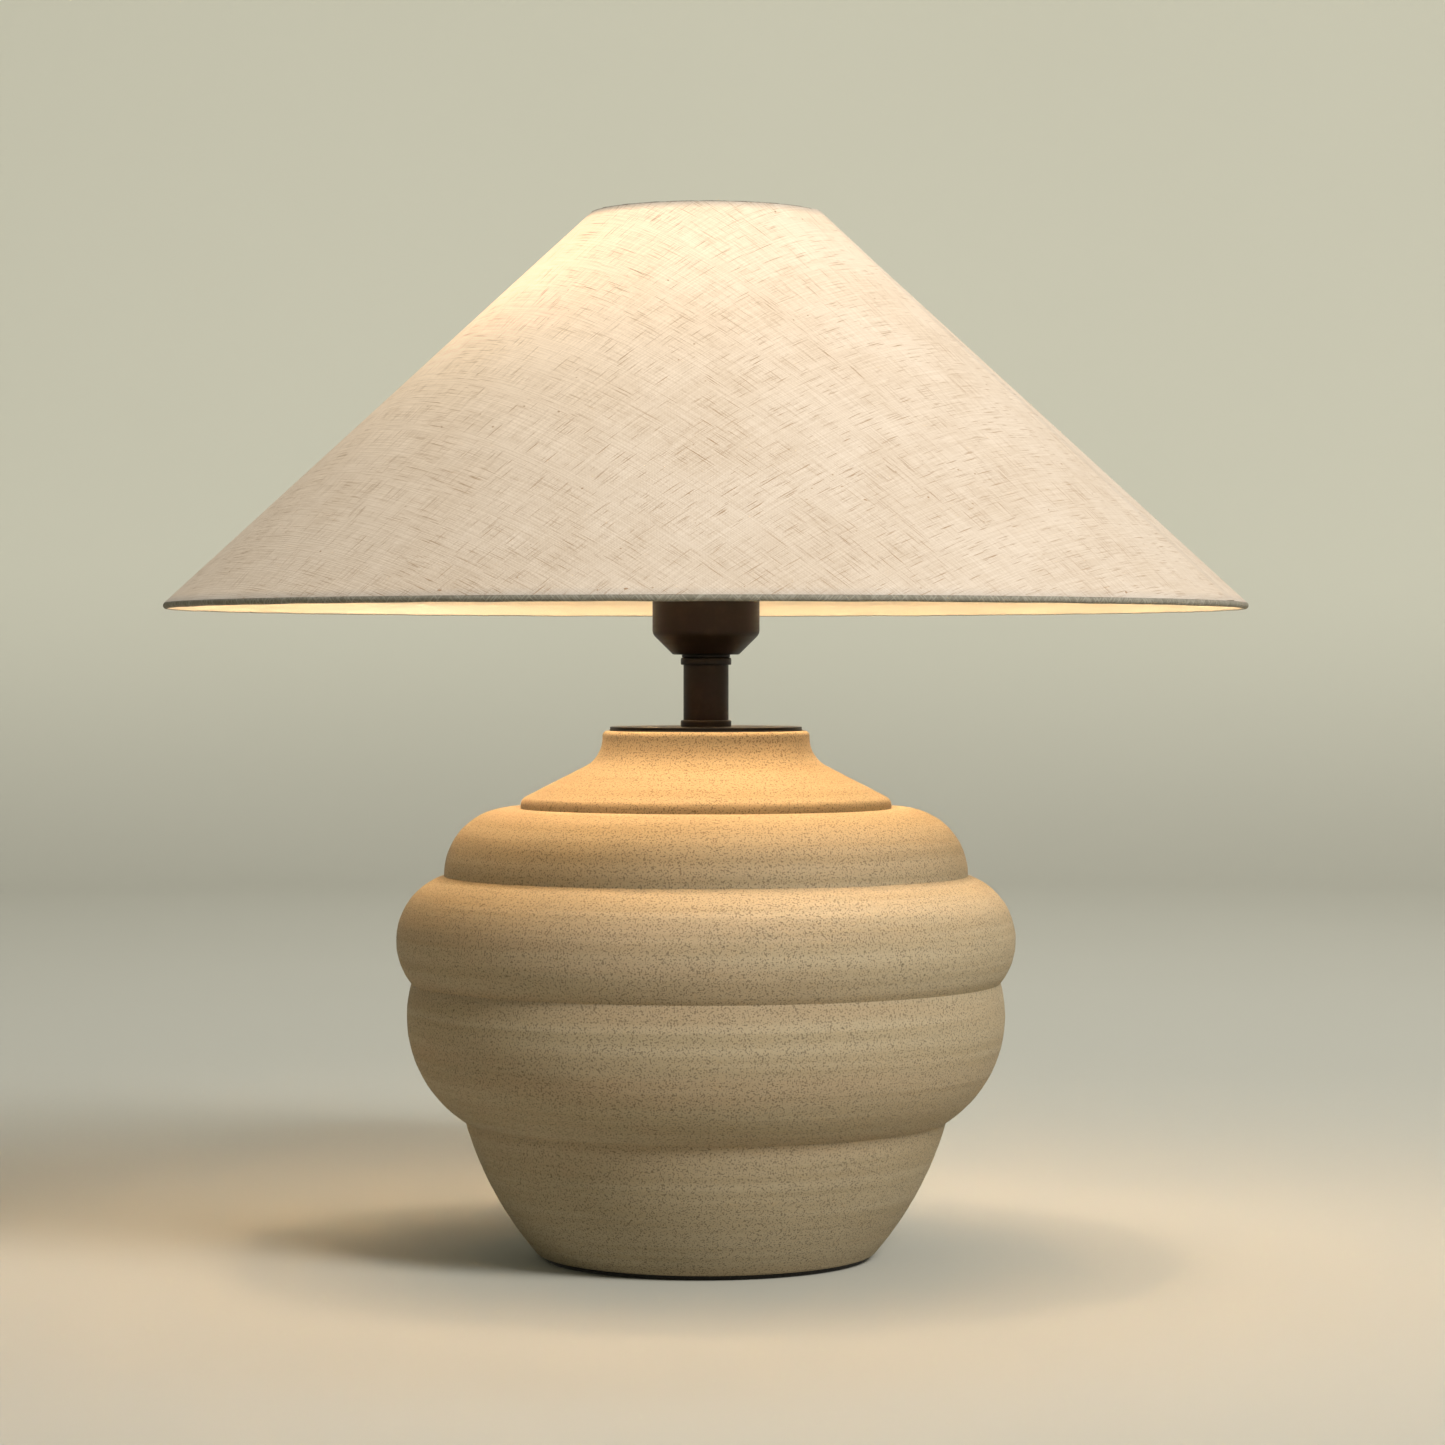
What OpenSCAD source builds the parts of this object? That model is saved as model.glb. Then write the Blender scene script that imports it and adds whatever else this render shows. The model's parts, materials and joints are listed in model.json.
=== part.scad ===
// Table lamp: a ribbed stoneware body on a hollow threaded rod, with a short metal
// stem, an E27 lampholder in a metal cup, and a wide linen cone shade on a wire spider.
// Millimetres, +Z up, origin at the centre of the underside of the pad, +Y is the back.

/* [Stoneware body] */
// Diameter of the foot where it stands
foot_d = 142; // [118:1:171]
// Height of the foot, up to the lowest groove
foot_h = 55.6; // [50:0.1:67]
// How far the side of the foot stands out from a straight line
foot_bulge = 3.3; // [1:0.1:6]
// Rounding of the foot's lower edge
foot_round = 1.5; // [0.5:0.1:2.5]
// Diameter at the lowest groove
low_groove_d = 201.2; // [190:0.2:230]
// Height of the low rib
low_rib_h = 57.7; // [48:0.1:70]
// How far the low rib stands out from a line between its grooves
low_rib_bulge = 10.3; // [5:0.1:14]
// Diameter at the groove under the middle rib
mid_groove_d = 246; // [225:1:270]
// Height of the middle rib
mid_rib_h = 44.5; // [37:0.1:54]
// How far the middle rib stands out from a line between its grooves
mid_rib_bulge = 12.4; // [6:0.1:15]
// Diameter at the groove over the middle rib
high_groove_d = 218.8; // [200:0.2:240]
// Height of the top rib
top_rib_h = 28; // [23:0.1:34]
// How far the top rib stands out from a line between its grooves
top_rib_bulge = 9.8; // [5:0.1:13]
// Diameter of the shoulder over the top rib
shoulder_d = 155; // [135:1:175]
// Rounding of the shoulder's outer edge
shoulder_round = 4; // [2:0.1:5]
// Slope of the shoulder, from level
shoulder_slope = 27; // [22:0.5:30]
// Height of the shoulder and the neck together
neck_h = 32.4; // [31:0.1:39]
// Outer diameter of the neck
neck_d = 86.6; // [80:0.2:100]
// Radius of the flare from the neck into the shoulder
neck_flare = 13.5; // [10:0.5:14]
// Rounding of the neck's upper edge
neck_round = 2; // [0.5:0.1:3]
// Thickness of the stoneware
wall = 7.5; // [6:0.1:9]
// Height of the recess under the floor of the body
recess_h = 34; // [30:0.5:38]
// Thickness of the floor of the body
floor_t = 8; // [6:0.5:10]

/* [Base fixing and cord inlet] */
// Thickness of the pad under the foot
pad_t = 2; // [1:0.1:4]
// How far the pad stays inside the edge of the foot
pad_inset = 3; // [1:0.5:6]
// Outer diameter of the threaded rod
rod_d = 10; // [8:0.1:12]
// Bore of the threaded rod
rod_bore_d = 7.4; // [5:0.1:7.6]
// Length of rod that stands out of a nut
rod_end = 2.5; // [1:0.5:4]
// Size across the flats of the rod's nuts
nut_af = 14; // [13:0.5:18]
// Height of the rod's nuts
nut_h = 4; // [3:0.5:6]
// Diameter of the washers that clamp the floor
washer_d = 38; // [30:1:46]
// Thickness of the rubber washer and of the steel washer
washer_t = 2; // [1:0.1:3]
// Thickness of the spring washer
spring_washer_t = 1.4; // [1:0.1:2]
// Height of the cord inlet over the foot's underside
inlet_h = 12; // [10:0.5:16]
// Diameter of the hole for the cord grommet
inlet_hole_d = 10; // [9:0.1:12]
// Bore of the cord grommet
inlet_bore_d = 6.8; // [5:0.1:7]
// Thickness of the grommet's flanges
grommet_flange_t = 1.5; // [1:0.1:2]
// How far the grommet's flanges reach past its hole
grommet_lip = 1.8; // [1:0.1:3]

/* [Neck cap and stem] */
// How far the metal disc stays inside the edge of the neck
cap_inset = 3.2; // [1:0.1:6]
// Thickness of the metal disc on the neck
cap_t = 1.2; // [0.8:0.1:3]
// Depth of the cap's rim that centres it in the neck
cap_rim_h = 6; // [3:0.5:10]
// Thickness of the gasket between the disc and the neck
gasket_t = 0.5; // [0.3:0.1:1.5]
// Visible length of the stem with its collars
stem_l = 30.1; // [25:0.1:60]
// Outer diameter of the stem tube
stem_d = 18.9; // [15:0.1:23]
// Wall of the stem tube
stem_wall = 1.2; // [0.8:0.1:2]
// How far the collars stand out from the stem
collar_lip = 1.15; // [0.8:0.05:3]
// Height of the lower collar
low_collar_h = 2.7; // [2:0.1:5]
// Height of the upper collar's bead
bead_h = 2.9; // [2:0.1:5]
// Height of the thin disc over the bead
bead_disc_h = 1.4; // [1.2:0.1:3]

/* [Lampholder] */
// Outer diameter of the cup
cup_d = 44.8; // [44:0.1:54]
// Height of the cup
cup_h = 34; // [30:0.5:44]
// Thickness of the cup
cup_t = 1; // [0.6:0.1:1.5]
// Diameter of the flat underside of the cup
cup_flat_d = 27.6; // [26:0.2:30]
// Rounding between the cup's bevel and its side
cup_round = 4; // [1:0.5:6]
// Diameter of the holder's outer thread
skirt_d = 39.8; // [37:0.1:41]
// Height of the holder's skirt over the cup
skirt_h = 30; // [26:0.5:36]
// Thickness of the flange that carries the shade
flange_t = 3; // [2:0.1:4]
// Diameter of the bulb's screw cap over its thread
lamp_cap_d = 26.3; // [24:0.1:27]
// Pitch of the lamp thread
lamp_pitch = 3.63; // [3:0.01:4]

/* [Shade] */
// Diameter of the shade's lower rim
shade_d = 450; // [360:1:560]
// Diameter of the shade's upper rim
shade_top_d = 97.4; // [80:0.2:140]
// Height of the shade
shade_h = 165.5; // [130:0.5:215]
// Height of the shade's lower rim over the cup's underside
shade_lift = 18.7; // [12:0.1:24]
// Diameter of the rim wires
rim_wire_d = 2; // [1.5:0.1:3]
// Thickness of the linen
linen_t = 0.35; // [0.3:0.05:0.6]
// Thickness of the stiff lining
lining_t = 0.35; // [0.3:0.05:0.6]
// Width of linen that is turned in behind each rim
hem_w = 11; // [7:0.5:16]
// Number of the spider's arms
arm_count = 3; // [3:1:4]
// Diameter of the spider's arms
arm_d = 3; // [2:0.1:4]
// How far the spider's hub reaches past the cup
hub_lip = 4.5; // [3:0.1:8]
// Thickness of the spider's hub
hub_t = 1.5; // [1:0.1:2.5]
// Height of the ring that clamps the shade
ring_h = 7; // [5:0.5:9]
// Width of the ring that clamps the shade
ring_w = 6.3; // [4:0.1:8]
// Number of finger grips round the ring
grip_count = 16; // [12:1:20]

/* [Bulb] */
// Diameter of the glass
bulb_d = 60; // [50:1:70]
// Length of the bulb with its cap
bulb_l = 110; // [100:1:125]
// Thickness of the glass
glass_t = 0.8; // [0.6:0.1:1.2]

/* [Hidden] */
$fn = 96;

// Clearances: a push fit in one body, a thread, a part that turns in another, the rolled thread of
// the bulb in its shell, and a glued joint
push_gap = 0.1;
thread_gap = 0.05;
turn_gap = 0.35;
rolled_gap = 0.42;
glue_gap = 0.05;
rim_steps = 8;
rib_steps = 16;

// Stoneware heights, over the foot's underside
low_groove_z = foot_h;
mid_groove_z = low_groove_z + low_rib_h;
high_groove_z = mid_groove_z + mid_rib_h;
shoulder_z = high_groove_z + top_rib_h;
body_h = shoulder_z + neck_h;
neck_bore_r = neck_d / 2 - wall - neck_round;
shoulder_lip = 1.3;
shoulder_rise = 90 - shoulder_slope;
shoulder_nose = [shoulder_d / 2 - shoulder_round, shoulder_z + shoulder_lip];
slope_foot = shoulder_nose + shoulder_round * [cos(shoulder_rise), sin(shoulder_rise)];

// The base fixing hangs under the floor, and the rod runs from there into the cup
floor_z = pad_t + recess_h;
base_nut_z = floor_z - 2 * washer_t - spring_washer_t - nut_h;
body_top_z = pad_t + body_h;
cap_z = body_top_z + gasket_t;
stem_z = cap_z + cap_t;
cup_z = stem_z + stem_l;
rod_r = rod_d / 2;
rod_hole_r = rod_r + push_gap;
rod_z = base_nut_z - rod_end;
tag_t = 0.8;
holder_nut_z = cup_z + cup_t + tag_t;
rod_top_z = holder_nut_z + nut_h + rod_end;
collar_r = stem_d / 2 + collar_lip;

// The cord inlet is square to the side of the foot
inlet_low = stoneware_side(inlet_h - inlet_hole_d / 2);
inlet_mid = stoneware_side(inlet_h);
inlet_high = stoneware_side(inlet_h + inlet_hole_d / 2);
inlet_dip = atan2(inlet_high - inlet_low, inlet_hole_d);
inlet_wall = (inlet_mid - recess_side(inlet_h)) * cos(inlet_dip);
inlet_seat = 0.8;
grommet_grip = inlet_wall - inlet_seat;

// Lampholder heights and radii
cup_r = cup_d / 2;
cup_top_z = cup_z + cup_h;
flange_top_z = cup_top_z + flange_t;
skirt_r = skirt_d / 2;
skirt_top_z = cup_top_z + skirt_h;
skirt_joint_h = 9;
insert_flange_h = 3;
insert_flange_z = cup_top_z - skirt_joint_h - insert_flange_h;
insert_z = holder_nut_z + nut_h + 1.2;
insert_boss_h = 4;
insert_top_z = insert_flange_z + insert_flange_h + insert_boss_h;
insert_gap = 1;
insert_r = cup_flat_d / 2 + insert_z - cup_z - cup_t * sqrt(2) - insert_gap;
insert_well_r = nut_af / sqrt(3) - 0.6;
terminal_size = [6, 7, 8];
terminal_x = insert_well_r + terminal_size.x / 2 + 1.5;
terminal_screw_r = 1.5;
shell_t = 0.5;
thread_depth = 0.9;
cap_mean_r = (lamp_cap_d - thread_depth) / 2;
shell_inner_r = cap_mean_r + rolled_gap;
skirt_bore_r = shell_inner_r + (thread_depth / 2) + shell_t + push_gap;
thread_ridge = 0.5;

// Bulb heights, over its contact
contact_top_z = insert_top_z + 2.2;
bulb_z = contact_top_z + thread_gap;
bulb_contact_h = 1.5;
bulb_insulator_h = 4;
bulb_thread_h = 20;
bulb_thread_z = bulb_z + bulb_contact_h + bulb_insulator_h;
bulb_collar_h = 2.5;
glass_neck_r = cap_mean_r - thread_depth / 2 - shell_t - push_gap;
bulb_r = bulb_d / 2;
bulb_centre_z = bulb_z + bulb_l - bulb_r;
glass_waist_r = cap_mean_r + thread_depth / 2;
glass_joint_z = bulb_thread_z + bulb_thread_h + bulb_collar_h + thread_gap;
glass_foot_z = bulb_thread_z + 4;
glass_lean = 30;

// Shade: both rim wires, and the cone that is stretched over the outside of them
wire_r = rim_wire_d / 2;
roll_r = wire_r + glue_gap + linen_t;
shade_z = cup_z + shade_lift;
low_wire = [shade_d / 2 - roll_r, shade_z + roll_r];
top_wire = [shade_top_d / 2 - roll_r, shade_z + shade_h - roll_r];
slant = norm(top_wire - low_wire);
up_slope = (top_wire - low_wire) / slant;
off_slope = [up_slope.y, -up_slope.x];
linen_in = wire_r + glue_gap;
lining_out = linen_in - glue_gap;
lining_in = lining_out - lining_t;
hem_middle = lining_in - glue_gap - linen_t / 2;
hem_turn = 200;
arm_angles = [for (i = [0:arm_count - 1]) 90 + i * 360 / arm_count];
hub_bore_r = skirt_r + turn_gap;
arm_start = [cup_r + 0.8, flange_top_z - arm_d / 2 - 0.1];
arm_end = low_wire - (wire_r + glue_gap) * (low_wire - arm_start) / norm(low_wire - arm_start);

// Points on the arc from a to b that stands out by bulge, to the right of the way from a to b
function arc_between(a, b, bulge, steps) =
    let (half = norm(b - a) / 2)
    let (along = (b - a) / (2 * half))
    let (out = [along.y, -along.x])
    let (radius = (half * half + bulge * bulge) / (2 * bulge))
    let (centre = (a + b) / 2 - out * (radius - bulge))
    let (sweep = asin(half / radius))
    [for (i = [0:steps])
        let (turn = sweep * (2 * i / steps - 1))
        centre + radius * (out * cos(turn) + along * sin(turn))];

// Points on a circle from one angle to another
function arc_about(centre, radius, from, to, steps) =
    [for (i = [0:steps])
        let (turn = from + (to - from) * i / steps)
        centre + radius * [cos(turn), sin(turn)]];

function reversed(points) = [for (i = [len(points) - 1:-1:0]) points[i]];

// Outline of a strip of thickness t along a path
function strip(path, t) =
    let (last = len(path) - 1)
    let (sides = [for (i = [0:last])
        let (way = path[min(i + 1, last)] - path[max(i - 1, 0)])
        [-way.y, way.x] / norm(way) * t / 2])
    concat(
        [for (i = [0:last]) path[i] + sides[i]],
        reversed([for (i = [0:last]) path[i] - sides[i]])
    );

// Radius of the foot's side at a height: the straight line plus its bulge
function stoneware_side(h) =
    foot_d / 2 + (low_groove_d - foot_d) / 2 * h / foot_h + 4 * foot_bulge * h / foot_h * (1 - h / foot_h);

// Radius of the recess's side at a height, one wall inside the foot's
function recess_side(h) =
    let (low = foot_d / 2 - wall)
    let (high = stoneware_side(recess_h) - wall)
    low + (high - low) * h / recess_h;

// Height of the shoulder's straight slope at a radius
function shoulder_height(r) = slope_foot.y + (slope_foot.x - r) * tan(shoulder_slope);

// Outside of the stoneware, from the foot up to the neck
function stoneware_outside() =
    let (foot_edge = [foot_d + foot_round, 2 * foot_round] / 2)
    let (flare_foot_r = neck_d / 2 + neck_flare * (1 - cos(shoulder_rise)))
    let (flare_middle = [neck_d / 2 + neck_flare,
        shoulder_height(flare_foot_r) + neck_flare * sin(shoulder_rise)])
    concat(
        arc_between([foot_d / 2 - foot_round, 0], foot_edge, foot_round / 5, 4),
        arc_between(foot_edge + [0, 0.1], [low_groove_d / 2, low_groove_z], foot_bulge, rib_steps),
        arc_between([low_groove_d / 2, low_groove_z + 0.1],
            [mid_groove_d / 2, mid_groove_z], low_rib_bulge, rib_steps),
        arc_between([mid_groove_d / 2, mid_groove_z + 0.1],
            [high_groove_d / 2, high_groove_z], mid_rib_bulge, rib_steps),
        arc_between([high_groove_d / 2, high_groove_z + 0.1],
            [shoulder_d / 2 - 0.1, shoulder_z], top_rib_bulge, rib_steps),
        arc_about(shoulder_nose, shoulder_round, 0, shoulder_rise, rim_steps),
        arc_about(flare_middle, neck_flare, 180 + shoulder_rise, 180, rib_steps),
        arc_about([neck_d / 2 - neck_round, body_h - neck_round], neck_round, 0, 90, rim_steps)
    );

// Inside of the stoneware, from the neck down to the middle of the floor and out to the foot
function stoneware_inside() =
    let (cavity_floor_z = recess_h + floor_t)
    let (low = [stoneware_side(cavity_floor_z) - wall, cavity_floor_z])
    let (first = [low_groove_d / 2 - wall, low_groove_z])
    let (second = [mid_groove_d / 2 - wall, mid_groove_z])
    let (third = [high_groove_d / 2 - wall, high_groove_z - wall / 2])
    let (fourth = [shoulder_d / 2 - wall, shoulder_z - wall])
    let (under = wall / cos(shoulder_slope))
    concat(
        [[neck_bore_r, body_h], [neck_bore_r, shoulder_height(neck_bore_r) - under]],
        [[fourth.x, shoulder_height(fourth.x) - under]],
        reversed(arc_between(third, fourth, top_rib_bulge, rib_steps)),
        reversed(arc_between(second, third - [0, 0.1], mid_rib_bulge, rib_steps)),
        reversed(arc_between(first, second - [0, 0.1], low_rib_bulge, rib_steps)),
        [low, [rod_hole_r + 1, cavity_floor_z], [rod_hole_r + 1, recess_h]],
        [[recess_side(recess_h), recess_h], [recess_side(0), 0]]
    );

// A point off the cone: n away from the line of the wires, s up the slope from the low wire
function on_slope(n, s) = low_wire + n * off_slope + s * up_slope;

// The turned hem: round the wire from the outside, then up behind the lining
function hem_path() =
    let (radius = wire_r + glue_gap + linen_t / 2)
    let (last = radius * [cos(hem_turn), -sin(hem_turn)])
    let (way = [-sin(hem_turn), -cos(hem_turn)])
    let (meet = last + way * (hem_middle - last.x) / way.x)
    concat(
        [for (i = [0:2 * rim_steps])
            let (turn = hem_turn * i / (2 * rim_steps))
            radius * [cos(turn), -sin(turn)]],
        [meet, [hem_middle, max(hem_w, meet.y + 2)]]
    );

// A rolled screw thread as a wave on a radius, from height z up over a height h. Every wave is in
// step with the bulb's, so that the crests of one lie in the other's roots
function wave(mean, z, h) =
    let (steps = ceil(h / lamp_pitch * rim_steps))
    [for (i = [0:steps])
        let (at = z + h * i / steps)
        [mean + thread_depth / 2 * cos(360 * (at - bulb_thread_z) / lamp_pitch), at]];

module tube(r_in, r_out, z, h) {
    translate([0, 0, z])
        difference() {
            cylinder(r = r_out, h = h);
            translate([0, 0, -1]) cylinder(r = r_in, h = h + 2);
        }
}

// Turns what is drawn along +Z, from the outer face of the foot inwards, onto the cord inlet
module at_inlet() {
    translate([0, inlet_mid, pad_t + inlet_h]) rotate([90 - inlet_dip, 0, 0]) children();
}

module base_pad() {
    color("#1c1b1a") cylinder(r = foot_d / 2 - pad_inset, h = pad_t);
}

module ceramic_body() {
    color("#b9a583")
        difference() {
            translate([0, 0, pad_t])
                rotate_extrude($fn = 180) polygon(concat(stoneware_outside(), stoneware_inside()));
            at_inlet() {
                translate([0, 0, -wall]) cylinder(d = inlet_hole_d, h = 4 * wall);
                translate([0, 0, -wall])
                    cylinder(r = inlet_hole_d / 2 + grommet_lip + push_gap, h = wall + inlet_seat);
            }
        }
}

module cord_grommet() {
    sleeve_r = inlet_hole_d / 2 - push_gap;
    bore_r = inlet_bore_d / 2;
    lip_r = sleeve_r + grommet_lip;
    z_out = inlet_seat - grommet_flange_t;
    z_in = inlet_seat + grommet_grip + 0.6;
    color("#232120")
        at_inlet()
            rotate_extrude()
                polygon([
                    [bore_r, z_out], [lip_r - 0.5, z_out], [lip_r, z_out + 0.5], [lip_r, inlet_seat],
                    [sleeve_r, inlet_seat], [sleeve_r, z_in], [lip_r - 0.6, z_in],
                    [sleeve_r, z_in + grommet_flange_t], [bore_r, z_in + grommet_flange_t]
                ]);
}

module base_rubber_washer() {
    color("#2b2a29") tube(rod_hole_r, washer_d / 2, floor_z - washer_t, washer_t);
}

module base_steel_washer() {
    color("#b8bbbd") tube(rod_hole_r, washer_d / 2 - 1, floor_z - 2 * washer_t, washer_t);
}

// A split ring, cut through so that it springs
module base_spring_washer() {
    z = floor_z - 2 * washer_t - spring_washer_t;
    color("#9fa3a6")
        difference() {
            tube(rod_hole_r, nut_af / 2, z, spring_washer_t);
            translate([nut_af / 2, 0, z + spring_washer_t / 2])
                rotate([35, 0, 0]) cube([nut_af, 1, 4 * spring_washer_t], center = true);
        }
}

module hex_nut(z) {
    translate([0, 0, z])
        difference() {
            cylinder(r = nut_af / sqrt(3), h = nut_h, $fn = 6);
            translate([0, 0, -1]) cylinder(r = rod_r + thread_gap, h = nut_h + 2);
        }
}

module base_nut() {
    color("#b8bbbd") hex_nut(base_nut_z);
}

module threaded_rod() {
    color("#a8abad") tube(rod_bore_d / 2, rod_r, rod_z, rod_top_z - rod_z);
}

module neck_gasket() {
    color("#2b2a29") tube(neck_bore_r + 0.5, neck_d / 2 - neck_round - 1, body_top_z, gasket_t);
}

module neck_cap() {
    rim_r = neck_bore_r - 0.5;
    color("#3a2e28") {
        difference() {
            union() {
                translate([0, 0, cap_z]) cylinder(r = neck_d / 2 - cap_inset, h = cap_t);
                translate([0, 0, cap_z - cap_rim_h]) cylinder(r = rim_r, h = cap_rim_h + cap_t / 2);
            }
            translate([0, 0, cap_z - cap_rim_h - 1]) cylinder(r = rim_r - cap_t, h = cap_rim_h + 1);
            translate([0, 0, cap_z - 1]) cylinder(r = rod_hole_r, h = cap_t + 2);
        }
    }
}

// A turned collar whose socket takes the end of the stem tube
module stem_lower_collar() {
    round_r = 0.8;
    floor_h = 1;
    socket_r = stem_d / 2 + thread_gap;
    color("#3a2e28")
        translate([0, 0, stem_z])
            rotate_extrude()
                polygon(concat(
                    [[rod_hole_r, 0], [collar_r, 0]],
                    arc_about([collar_r - round_r, low_collar_h - round_r], round_r, 0, 90, 6),
                    [[socket_r, low_collar_h], [socket_r, floor_h], [rod_hole_r, floor_h]]
                ));
}

module stem_tube() {
    color("#352a25") tube(stem_d / 2 - stem_wall, stem_d / 2, stem_z + 1, stem_l - 2);
}

module stem_upper_collar() {
    round_r = 1.1;
    socket_r = stem_d / 2 + thread_gap;
    disc_r = collar_r - 0.5;
    top = bead_h + bead_disc_h;
    color("#3a2e28")
        translate([0, 0, cup_z - top])
            rotate_extrude()
                polygon(concat(
                    [[socket_r, 0]],
                    arc_about([collar_r - round_r, round_r], round_r, -90, 0, 6),
                    arc_about([collar_r - round_r, bead_h - round_r], round_r, 0, 90, 6),
                    [[disc_r - 0.4, bead_h + 0.2], [disc_r, bead_h + 0.3], [disc_r, top], [rod_hole_r, top]],
                    [[rod_hole_r, top - 1], [socket_r, top - 1]]
                ));
}

// The cup's outline a given distance inside its outer face
function cup_line(inset) =
    let (side = cup_r - inset)
    let (flat = cup_flat_d / 2 - inset * tan(22.5))
    let (knee_z = inset + side - flat)
    let (turn_r = max(cup_round - inset, 0.5))
    let (back = turn_r * tan(22.5))
    concat(
        [[flat, inset]],
        arc_about([side - turn_r, knee_z + back], turn_r, -45, 0, 6),
        [[side, cup_h]]
    );

module holder_cup() {
    color("#3a2e28")
        translate([0, 0, cup_z])
            rotate_extrude()
                polygon(concat(
                    [[rod_hole_r, 0]], cup_line(0),
                    reversed(cup_line(cup_t)), [[rod_hole_r, cup_t]]
                ));
}

// A ring terminal for the earth wire, clamped under the holder's nut
module earth_tag() {
    tab = [5, 1.6 * rod_r, tag_t];
    color("#c9a24b")
        translate([0, 0, cup_z + cup_t])
            difference() {
                union() {
                    cylinder(r = nut_af / 2 + 0.5, h = tag_t);
                    translate([-tab.x / 2, rod_r, 0]) cube([tab.x, tab.y - rod_r + nut_af / 4, tag_t]);
                }
                translate([0, 0, -1]) cylinder(r = rod_hole_r, h = tag_t + 2);
            }
}

module holder_nut() {
    color("#b8bbbd") hex_nut(holder_nut_z);
}

// The two places beside the middle of the insert where the wires are fixed
module at_terminals() {
    for (side = [-1, 1]) translate([side * terminal_x, 0, insert_z]) children();
}

module holder_insert() {
    pocket = terminal_size + 2 * push_gap * [1, 1, 1];
    color("#e8e2d6")
        difference() {
            union() {
                translate([0, 0, insert_z]) cylinder(r = insert_r, h = insert_flange_z - insert_z + 1);
                translate([0, 0, insert_flange_z])
                    cylinder(r = cup_r - cup_t - push_gap, h = insert_flange_h);
                translate([0, 0, insert_flange_z])
                    cylinder(r = skirt_bore_r - 0.6, h = insert_flange_h + insert_boss_h);
            }
            translate([0, 0, insert_z - 1]) cylinder(r = insert_well_r, h = rod_end + 3);
            at_terminals()
                translate([0, 0, pocket.z / 2 - 1 + 2]) cube(pocket + [0, 0, 6], center = true);
        }
}

module terminal_blocks() {
    color("#c9a24b")
        at_terminals()
            translate([0, 0, 3])
                difference() {
                    translate([-terminal_size.x / 2, -terminal_size.y / 2, 0])
                        cube(terminal_size - [0, 0, 1]);
                    translate([0, 0, -1]) cylinder(r = terminal_screw_r + thread_gap, h = 7);
                }
}

module terminal_screws() {
    color("#b8bbbd")
        at_terminals()
            difference() {
                union() {
                    translate([0, 0, 1]) cylinder(r = 2.4, h = 2);
                    translate([0, 0, 1]) cylinder(r = terminal_screw_r, h = 7);
                }
                translate([-3, -0.4, 0]) cube([6, 0.8, 1.8]);
            }
}

// A sprung brass tongue, drawn as its foot and its raised pad
module centre_contact() {
    color("#c9a24b")
        translate([0, 0, insert_top_z]) {
            difference() {
                union() {
                    cylinder(r = 5, h = 0.8);
                    cylinder(r = 3, h = 2.2);
                }
                translate([-6, 3.4, -1]) cube([12, 4, 3]);
                translate([-6, -7.4, -1]) cube([12, 4, 3]);
            }
        }
}

module screw_shell() {
    z = insert_top_z + 1;
    h = skirt_top_z - 6 - z;
    color("#cfd1d2")
        rotate_extrude()
            polygon(concat(
                wave(shell_inner_r, z, h),
                reversed([for (p = wave(shell_inner_r, z, h)) p + [shell_t, 0]])
            ));
}

module holder_skirt() {
    joint_r = cup_r - cup_t - push_gap;
    joint_z = insert_flange_z + insert_flange_h;
    ridge_pitch = 2.5;
    first_ridge = flange_top_z + ring_h + hub_t + 1;
    ridges = floor((skirt_top_z - 3 - first_ridge) / ridge_pitch);
    color("#262321")
        rotate_extrude()
            polygon(concat(
                [[skirt_bore_r, joint_z], [joint_r, joint_z], [joint_r, cup_top_z]],
                [[cup_r, cup_top_z], [cup_r, flange_top_z], [skirt_r, flange_top_z]],
                [for (i = [0:ridges - 1], p = [[0, 0], [-thread_ridge, 0.6], [-thread_ridge, 1.3], [0, 1.9]])
                    [skirt_r + p.x, first_ridge + i * ridge_pitch + p.y]],
                [[skirt_r, skirt_top_z - 1], [skirt_r - 1, skirt_top_z], [skirt_bore_r, skirt_top_z]]
            ));
}

module shade_ring() {
    outer_r = hub_bore_r + ring_w;
    grip_r = 1.6;
    color("#262321")
        difference() {
            translate([0, 0, flange_top_z + hub_t])
                rotate_extrude()
                    polygon([
                        [hub_bore_r, 0], [outer_r, 0], [outer_r, 2], [outer_r - 1, 2.6],
                        [outer_r - 1, ring_h - 1], [outer_r - 2, ring_h], [hub_bore_r, ring_h]
                    ]);
            for (i = [0:grip_count - 1])
                rotate([0, 0, (i + 0.5) * 360 / grip_count])
                    translate([outer_r + 0.2, 0, flange_top_z + hub_t + 2.4])
                        cylinder(r = grip_r, h = ring_h);
        }
}

module shade_hub() {
    color("#efece6") tube(hub_bore_r, cup_r + hub_lip, flange_top_z, hub_t);
}

// The spider's arms, or the room that they need when margin is more than 0
module arms(margin) {
    run = arm_end - arm_start;
    for (angle = arm_angles)
        rotate([0, 0, angle])
            translate([arm_start.x, 0, arm_start.y])
                rotate([0, atan2(run.x, run.y), 0])
                    cylinder(d = arm_d + 2 * margin, h = norm(run) + margin / 4);
}

module shade_arms() {
    color("#efece6") arms(0);
}

module rim_wire(centre) {
    color("#efece6") rotate_extrude() translate(centre) circle(r = wire_r, $fn = 24);
}

module bottom_rim_wire() {
    rim_wire(low_wire);
}

module top_rim_wire() {
    rim_wire(top_wire);
}

// A cone of sheet between two distances from the wires' line
module cone_sheet(n_in, n_out, s_from, s_to) {
    rotate_extrude($fn = 180)
        polygon([
            on_slope(n_in, s_from), on_slope(n_out, s_from),
            on_slope(n_out, s_to), on_slope(n_in, s_to)
        ]);
}

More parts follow.
